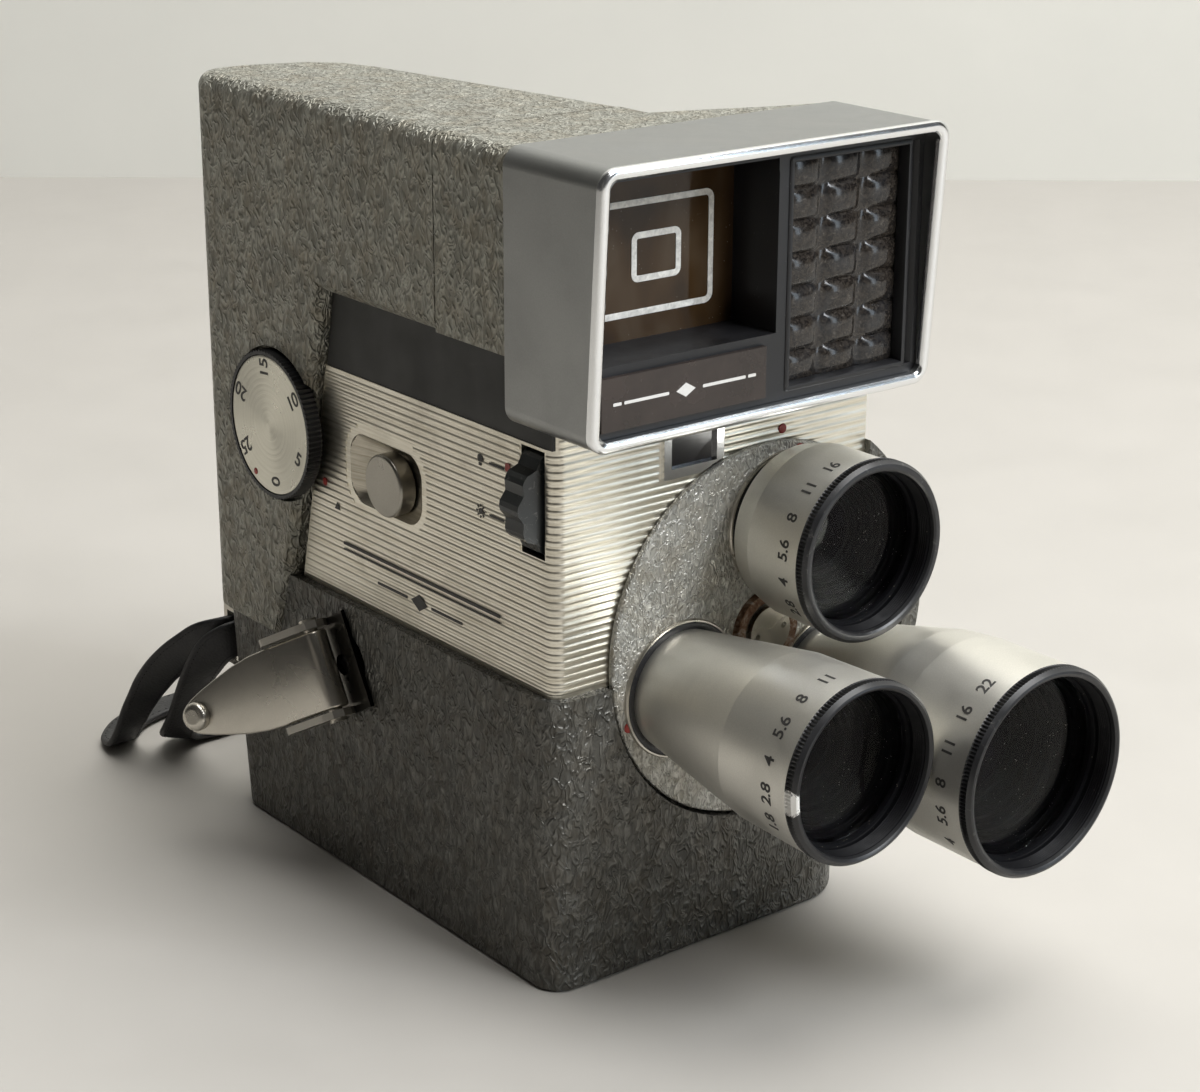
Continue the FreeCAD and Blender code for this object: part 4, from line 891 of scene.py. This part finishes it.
def lens_fronts():
    """Finely knurled front rings, with the threaded tube, front glass and stepped funnel inside."""
    chips = chipped("ring_chipped", chip_point(), (0.85, 0.84, 0.81), 3.2 * MM)
    for name, radius, barrel, inner, stop in RINGS:
        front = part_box(f"{name}_lens_front_ring")[0].y
        middle = centre_of(f"{name}_lens_barrel")
        centre = Vector((middle.x, front, middle.z))
        bore = barrel - TUBE_INSET
        end = stop - (front - CORNER.y) / MM
        ring = lathe(ring_profile(radius, bore), centre, REARWARD, int(radius * 10) * 2)
        finish = chips if name == "wide" else BLACK_RING
        replaced = (f"{name}_lens_front_ring",)
        piece(f"{name}_ring_knurled", ring, finish, "turret", 28.0, replaced)
        tube = lathe(tube_profile(bore, inner, end), centre, REARWARD, 120)
        piece(f"{name}_tube", tube, TUBE, "turret", 28.0)
        glass = lathe(glass_profile(GLASS_BACK, GLASS_EDGE, bore - 0.06, BULGE, 14), centre, REARWARD, 96)
        piece(f"{name}_glass_front", glass, LENS, "turret", 50.0, (f"{name}_lens_glass",))
        rear = lathe(glass_profile(end + 1.0, end - 0.1, inner - 0.05, 1.0, 8), centre, REARWARD, 72)
        piece(f"{name}_glass_rear", rear, DEEP, "turret", 50.0)
        seat = Vector((middle.x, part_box("turret_disc")[0].y, middle.z))
        black = lathe(smooth_profile(SEAT_BLACK), seat, REARWARD)
        piece(f"{name}_seat_black", black, BLACK_RING, "turret")
        bead = lathe(smooth_profile(SEAT_BEAD), seat, REARWARD)
        piece(f"{name}_seat_bead", bead, NICKEL, "turret")


dial_marks()
plate_marks()
lens_numbers()
lens_fronts()


# ---- hood

def rounded_loop(x0, x1, z0, z1, radius, steps=8):
    """A rounded rectangle as (x, z, outward x, outward z) stations."""
    left, right, low, high = x0 + radius, x1 - radius, z0 + radius, z1 - radius
    loop = []
    for cx, cz, start in ((right, high, 0), (left, high, 90), (left, low, 180), (right, low, 270)):
        for step in range(steps + 1):
            turn = math.radians(start + 90 * step / steps)
            ox, oz = math.cos(turn), math.sin(turn)
            loop.append((cx + radius * ox, cz + radius * oz, ox, oz))
    return loop


def banded(loop, profile):
    """A closed band along a rounded loop, from (inward, y) points."""
    sections = []
    for x, z, ox, oz in loop:
        sections.append([at(x - ox * inward, y, z - oz * inward) for inward, y in profile])
    return swept(sections, True)


def hood_rim():
    """The bright rolled edge round the hood's mouth."""
    low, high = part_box("hood")
    x0, x1 = (low.x - CORNER.x) / MM, (high.x - CORNER.x) / MM
    z0, z1 = low.z / MM, high.z / MM
    front_top, front_bottom = -15.7, -13.0
    sections = []
    profile = [(-0.1, 0.9), (-0.1, -0.1), (0.12, -0.32), (0.5, -0.46)]
    profile += [(0.95, -0.46), (1.35, -0.34), (1.68, -0.08), (1.72, 0.9)]
    for x, z, ox, oz in rounded_loop(x0, x1, z0, z1, 3.0):
        ring = []
        for inward, ahead in profile:
            px, pz = x - ox * inward, z - oz * inward
            y = front_bottom + (front_top - front_bottom) * (pz - z0) / (z1 - z0)
            ring.append(at(px, y + ahead, pz))
        sections.append(ring)
    piece("hood_rim", swept(sections, True), RIM, "camera", 50.0)


def finder_lines():
    """The bright frame lines on the viewfinder's front glass."""
    y = (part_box("finder_window")[0].y - CORNER.y) / MM - 0.06
    parts = []
    profile = [(0, y + 0.05), (0, y - 0.05), (0.5, y - 0.09), (1, y - 0.05), (1, y + 0.05)]
    for loop in ((7.3, 29.9, 112.0, 130.0, 1.6), (13.7, 23.4, 117.2, 124.9, 1.3)):
        parts.append(banded(rounded_loop(*loop), profile))
    piece("finder_lines", merged(parts), WHITE, "camera")


def meter_domes():
    """The light cell's moulded cover: rows of small pillow lenses in a raised border."""
    low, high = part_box("meter_lens")
    columns, rows, fine = 3, 7, 9
    x0, x1, z0, z1 = low.x, high.x, low.z, high.z
    back = high.y
    ridge = back - 2.0 * MM
    grid_x, grid_z = columns * fine, rows * fine
    points = []
    for j in range(grid_z + 1):
        for i in range(grid_x + 1):
            u, v = i / fine, j / fine
            px, pz = 2 * (u - math.floor(u)) - 1, 2 * (v - math.floor(v)) - 1
            if i % fine == 0:
                px = 1.0
            if j % fine == 0:
                pz = 1.0
            swell = (1 - abs(px) ** 2.6) * (1 - abs(pz) ** 3.2)
            rise = 0.9 * MM * max(0.0, swell) ** 0.75
            x, z = x0 + (x1 - x0) * i / grid_x, z0 + (z1 - z0) * j / grid_z
            points.append(Vector((x, ridge - rise, z)))
    faces = []
    wide = grid_x + 1
    for j in range(grid_z):
        for i in range(grid_x):
            a = j * wide + i
            faces.append((a, a + 1, a + 1 + wide, a + wide))
    edge = [i for i in range(wide)] + [j * wide + grid_x for j in range(1, grid_z + 1)]
    edge += [grid_z * wide + i for i in reversed(range(grid_x))]
    edge += [j * wide for j in reversed(range(1, grid_z))]
    base = len(points)
    for index in edge:
        p = points[index]
        points.append(Vector((p.x, back, p.z)))
    for k in range(len(edge)):
        n = (k + 1) % len(edge)
        faces.append((edge[n], edge[k], base + k, base + n))
    faces.append(tuple(reversed(range(base, base + len(edge)))))
    piece("meter_lens_cover", (points, faces), CELL, "camera", 60.0, ("meter_lens",))
    profile = [(0.0, -10.0), (0.0, -12.1), (0.25, -12.3), (0.8, -12.2), (1.0, -11.6), (1.0, -10.0)]
    frame_band = banded(rounded_loop(36.0, 62.0, 98.6, 135.5, 0.6, 3), profile)
    piece("meter_frame", frame_band, BLACK_TRIM, "camera", 50.0)


def panel_ornament():
    """A plain silver line and diamond on the blank panel."""
    low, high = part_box("name_panel")
    y = (low.y - CORNER.y) / MM
    x, z = ((low.x + high.x) / 2 - CORNER.x) / MM, (low.z + high.z) / 2 / MM
    parts = [front_mark(polygon([(0, 1.1), (1.9, 0), (0, -1.1), (-1.9, 0)]), x, z, y)]
    for way in (-1, 1):
        parts.append(front_mark(bar(8.6, 0.5), x + way * 7.6, z, y))
        parts.append(front_mark(bar(1.6, 0.5), x + way * 13.2, z, y))
    piece("panel_lines", merged(parts), RIM, "camera", 30.0)


hood_rim()
finder_lines()
meter_domes()
panel_ornament()


# ---- start button's dish

def dish_liner():
    """The pressed hollow round the start button: steep in front, shallow behind."""
    y0, y1, z0, z1 = 35.9, 57.1, 70.4, 82.6
    steps_y, steps_z = 60, 30
    deep, corner = 1.72, 4.2
    slot_y0, slot_y1, slot_z0, slot_z1 = 40.3, 46.7, 74.1, 77.9

    def depth(y, z):
        reach_y = min((y - y0) / 0.6, (y1 - y) / 8.0)
        reach_z = min((z - z0) / 2.4, (z1 - z) / 2.4)
        a = max(0.0, min(1.0, reach_y))
        b = max(0.0, min(1.0, reach_z))
        a = math.sin(a * math.pi / 2) ** 1.2
        b = math.sin(b * math.pi / 2)
        return deep * a * b

    points, faces = [], []
    for j in range(steps_z + 1):
        for i in range(steps_y + 1):
            y = y0 + (y1 - y0) * i / steps_y
            z = z0 + (z1 - z0) * j / steps_z
            points.append(at(depth(y, z) - 0.02, y, z))
    wide = steps_y + 1
    for j in range(steps_z):
        for i in range(steps_y):
            y = y0 + (y1 - y0) * (i + 0.5) / steps_y
            z = z0 + (z1 - z0) * (j + 0.5) / steps_z
            if slot_y0 < y < slot_y1 and slot_z0 < z < slot_z1:
                continue
            corner_y = max(0.0, abs(y - (y0 + y1) / 2) - ((y1 - y0) / 2 - corner))
            corner_z = max(0.0, abs(z - (z0 + z1) / 2) - ((z1 - z0) / 2 - corner))
            if math.hypot(corner_y, corner_z) > corner + 0.1:
                continue
            a = j * wide + i
            faces.append((a, a + wide, a + 1 + wide, a + 1))
    return points, faces


# The hollow's darker aluminium is painted shade.
piece("dish_liner", dish_liner(), HOLLOW_PAINTED_SHADE, "camera", 80.0)


# ---- winding key's leaf

KEY = (57.5, 40.2)
KEY_TILT = math.radians(30.4)
LEAF_ANGLE = math.radians(27.0)
PIN_PLACE = (5.9, 1.5)
ROLL = 2.8
SHEET = 1.3
LEAF_HALF = [  # distance along the leaf, and half its width there
    (0.0, 7.0), (9.0, 7.0), (13.0, 6.85), (17.0, 6.2), (21.0, 5.2),
    (24.5, 4.2), (27.0, 3.3), (28.5, 2.5), (29.2, 1.5), (29.5, 0.3),
]


def leaf_half(along):
    for (a, wa), (b, wb) in zip(LEAF_HALF, LEAF_HALF[1:]):
        if along <= b:
            share = max(0.0, (along - a) / (b - a))
            return wa + (wb - wa) * share
    return LEAF_HALF[-1][1]


def key_leaf():
    """A pressed sheet, rolled round the hinge pin and tapering to a round tip, with softened edges."""
    pin = Vector((0, math.sin(KEY_TILT), math.cos(KEY_TILT)))
    flat = Vector((0, math.cos(KEY_TILT), -math.sin(KEY_TILT)))
    out = Vector((-1, 0, 0))
    along = flat * math.cos(LEAF_ANGLE) + out * math.sin(LEAF_ANGLE)
    face = out * math.cos(LEAF_ANGLE) - flat * math.sin(LEAF_ANGLE)
    hinge = Vector((0, KEY[0], KEY[1])) + out * PIN_PLACE[0] + flat * PIN_PLACE[1]
    stations = []
    for step in range(20):
        turn = math.radians(215 - 215 * step / 20)
        radial = face * math.cos(turn) - along * math.sin(turn)
        stations.append((hinge + radial * (ROLL - SHEET / 2), radial, LEAF_HALF[0][1]))
    for step in range(61):
        share = 1 - (1 - step / 60) ** 1.6
        reach = LEAF_HALF[-1][0] * share
        stations.append((hinge + along * reach + face * (ROLL - SHEET / 2), face, leaf_half(reach)))
    sections = []
    for middle, up, half in stations:
        ring = []
        soft = min(0.45, half * 0.5)
        for side, level, corner in ((-1, -1, 180), (1, -1, 270), (1, 1, 0), (-1, 1, 90)):
            for turn in (0, 30, 60, 90):
                angle = math.radians(corner + turn)
                a, b = math.cos(angle), math.sin(angle)
                across = side * (half - soft) + soft * a
                lift = level * (SHEET / 2 - 0.42) + 0.42 * b - 0.28 * (across / 7.0) ** 2
                ring.append(at(*(middle + pin * across + up * lift)))
        sections.append(ring)
    piece("key_leaf_pressed", swept(sections), NICKEL, "key_flap", 40.0, ("key_leaf",))


key_leaf()


# ---- strap

STRAP_WIDTH = 7.2
STRAP_THICK = 1.6
STRAP_ROUTE = [
    ((6.0, 105.0, 30.4), (0.0, 0.0, 1.0)),
    ((3.0, 105.0, 30.4), (0.0, 0.0, 1.0)),
    ((0.4, 106.0, 30.0), (-0.05, 0.0, 1.0)),
    ((-1.7, 108.8, 28.7), (-0.15, 0.1, 1.0)),
    ((-2.9, 111.8, 26.5), (-0.3, 0.1, 0.95)),
    ((-4.2, 115.2, 23.8), (-0.45, 0.05, 0.88)),
    ((-5.3, 118.8, 20.4), (-0.6, 0.0, 0.8)),
    ((-6.1, 121.8, 16.9), (-0.7, 0.0, 0.65)),
    ((-6.7, 124.2, 13.5), (-0.8, -0.1, 0.5)),
    ((-7.5, 126.4, 9.8), (-0.88, -0.15, 0.35)),
    ((-8.4, 128.2, 5.8), (-0.95, -0.2, 0.15)),
    ((-8.7, 130.6, 2.6), (-0.98, -0.1, 0.0)),
    ((-7.2, 135.2, 1.2), (-0.9, 0.4, 0.0)),
    ((-1.6, 140.4, 1.1), (-0.6, 0.8, 0.0)),
    ((7.0, 143.2, 1.1), (-0.2, 0.98, 0.0)),
    ((18.0, 143.4, 1.1), (0.2, 0.98, 0.0)),
    ((26.0, 139.2, 1.1), (0.85, 0.5, 0.0)),
    ((26.6, 131.8, 1.1), (0.9, -0.4, 0.0)),
    ((19.6, 127.8, 1.1), (0.2, -0.98, 0.0)),
    ((11.4, 127.4, 1.1), (0.0, -1.0, 0.0)),
    ((4.4, 127.0, 1.6), (0.25, -0.97, 0.0)),
    ((0.4, 124.6, 3.2), (0.75, -0.65, 0.0)),
    ((-1.1, 121.0, 6.4), (0.93, -0.35, 0.0)),
    ((-1.6, 117.6, 10.6), (0.97, -0.2, 0.0)),
    ((-2.0, 114.2, 15.6), (0.97, -0.1, -0.1)),
    ((-2.1, 111.2, 20.0), (0.9, 0.0, -0.35)),
    ((-1.9, 108.0, 24.2), (0.7, 0.0, -0.7)),
    ((-1.3, 105.4, 27.4), (0.4, 0.0, -0.9)),
    ((0.2, 103.4, 29.4), (0.15, 0.0, -1.0)),
    ((3.0, 102.6, 30.2), (0.0, 0.0, -1.0)),
    ((6.0, 102.6, 30.2), (0.0, 0.0, -1.0)),
]


def strap_frames(count):
    places = [Vector(p) for p, a in STRAP_ROUTE]
    sides = [Vector(a).normalized() for p, a in STRAP_ROUTE]
    frames = []
    for step in range(count):
        share = step / (count - 1)
        middle = spline(places, share)
        ahead = spline(places, min(1.0, share + 0.004)) - spline(places, max(0.0, share - 0.004))
        ahead.normalize()
        across = spline(sides, share)
        across = (across - ahead * across.dot(ahead)).normalized()
        frames.append((middle, ahead, across, ahead.cross(across)))
    return frames


def make_strap():
    w, t = STRAP_WIDTH / 2, STRAP_THICK / 2
    profile = [(-w, 0.0), (-w + 0.12, 0.5 * t), (-w + 0.5, 0.86 * t)]
    profile += [(-w + 1.1, 0.84 * t), (-w + 1.6, t), (0, t)]
    profile = profile + [(-a, b) for a, b in reversed(profile[:-1])]
    profile = profile + [(a, -b) for a, b in reversed(profile[1:-1])]
    sections = []
    for middle, _, across, face in strap_frames(240):
        sections.append([at(*(middle + across * a + face * b)) for a, b in profile])
    corners = ((101.9, 27.6), (105.7, 27.6), (105.7, 33.2), (101.9, 33.2))
    sewn_end = swept([[at(x, y, z) for y, z in corners] for x in (5.4, 7.0)])
    band = merged([swept(sections), sewn_end])
    piece("strap_band", band, LEATHER, "camera", 50.0, ("wrist_strap",))


THREAD_TURNS = (0.4, 1.97, 3.54, 5.11)  # a thread's four edges, in radians


def strap_stitches():
    """Short threads in the grooves near both edges of the band."""
    parts = []
    frames = strap_frames(420)
    for index in range(8, 412, 3):
        middle, ahead, across, face = frames[index]
        radials = [across * (0.11 * math.cos(q)) + face * (0.11 * math.sin(q)) for q in THREAD_TURNS]
        for side in (-1, 1):
            for front in (-1, 1):
                spot = middle + across * side * (STRAP_WIDTH / 2 - 1.0)
                spot = spot + face * front * (STRAP_THICK / 2 * 0.86)
                ends = [spot - ahead * 0.24, spot + ahead * 0.24]
                parts.append(swept([[at(*(end + r)) for r in radials] for end in ends]))
    piece("strap_stitching", merged(parts), THREAD, "camera", 80.0)


make_strap()
strap_stitches()


# ---- room

def stage_plane(name, corners, material):
    mesh = bpy.data.meshes.new(name)
    mesh.from_pydata(corners, [], [(0, 1, 2, 3)])
    mesh.materials.append(material)
    placed(name, mesh)


def room():
    floor = plain("floor_pale", (0.44, 0.42, 0.39), 0.6, grain=30.0, spread=0.02)
    wall = plain("wall_pale", (0.72, 0.71, 0.66), 0.9, grain=12.0, spread=0.02)
    stage_plane("floor", [(-3, -3, 0), (3, -3, 0), (3, 3, 0), (-3, 3, 0)], floor)
    # The wall stands square to the camera's heading, behind the object.
    heading = Vector((0.618, 0.786, 0)).normalized()
    side = Vector((heading.y, -heading.x, 0))
    left, right = heading * 0.62 - side * 3, heading * 0.62 + side * 3
    stage_plane("wall", [left, right, right + UP * 3, left + UP * 3], wall)


def area_light(name, place, aim, size, watts, colour, tall=None):
    data = bpy.data.lights.new(name, "AREA")
    data.shape = "RECTANGLE"
    data.size = size
    data.size_y = tall or size
    data.energy = watts
    data.color = colour
    lamp = placed(name, data)
    lamp.location = place
    lamp.rotation_euler = (Vector(aim) - Vector(place)).to_track_quat("-Z", "Y").to_euler()


def lights():
    target = (0.0, 0.0, 0.07)
    area_light("ceiling_light", (0.35, -0.1, 1.45), target, 1.2, 26.0, (1.0, 0.99, 0.96))
    area_light("key_light", (0.42, -1.05, 1.1), target, 0.7, 21.0, (0.96, 0.98, 1.0))
    area_light("side_light", (-1.5, -0.5, 0.6), target, 0.8, 0.25, (1.0, 0.93, 0.82))
    hood = (0.02, -0.06, 0.117)
    area_light("window_glint", (0.5, -0.75, 0.35), hood, 0.10, 1.2, (0.75, 0.88, 1.0), 0.9)
    world = bpy.data.worlds.new("room_air")
    world.use_nodes = True
    back = world.node_tree.nodes["Background"]
    back.inputs["Color"].default_value = (1.0, 0.97, 0.92, 1.0)
    back.inputs["Strength"].default_value = 0.045
    bpy.context.scene.world = world
    bpy.context.scene.view_settings.view_transform = "Standard"


room()
lights()
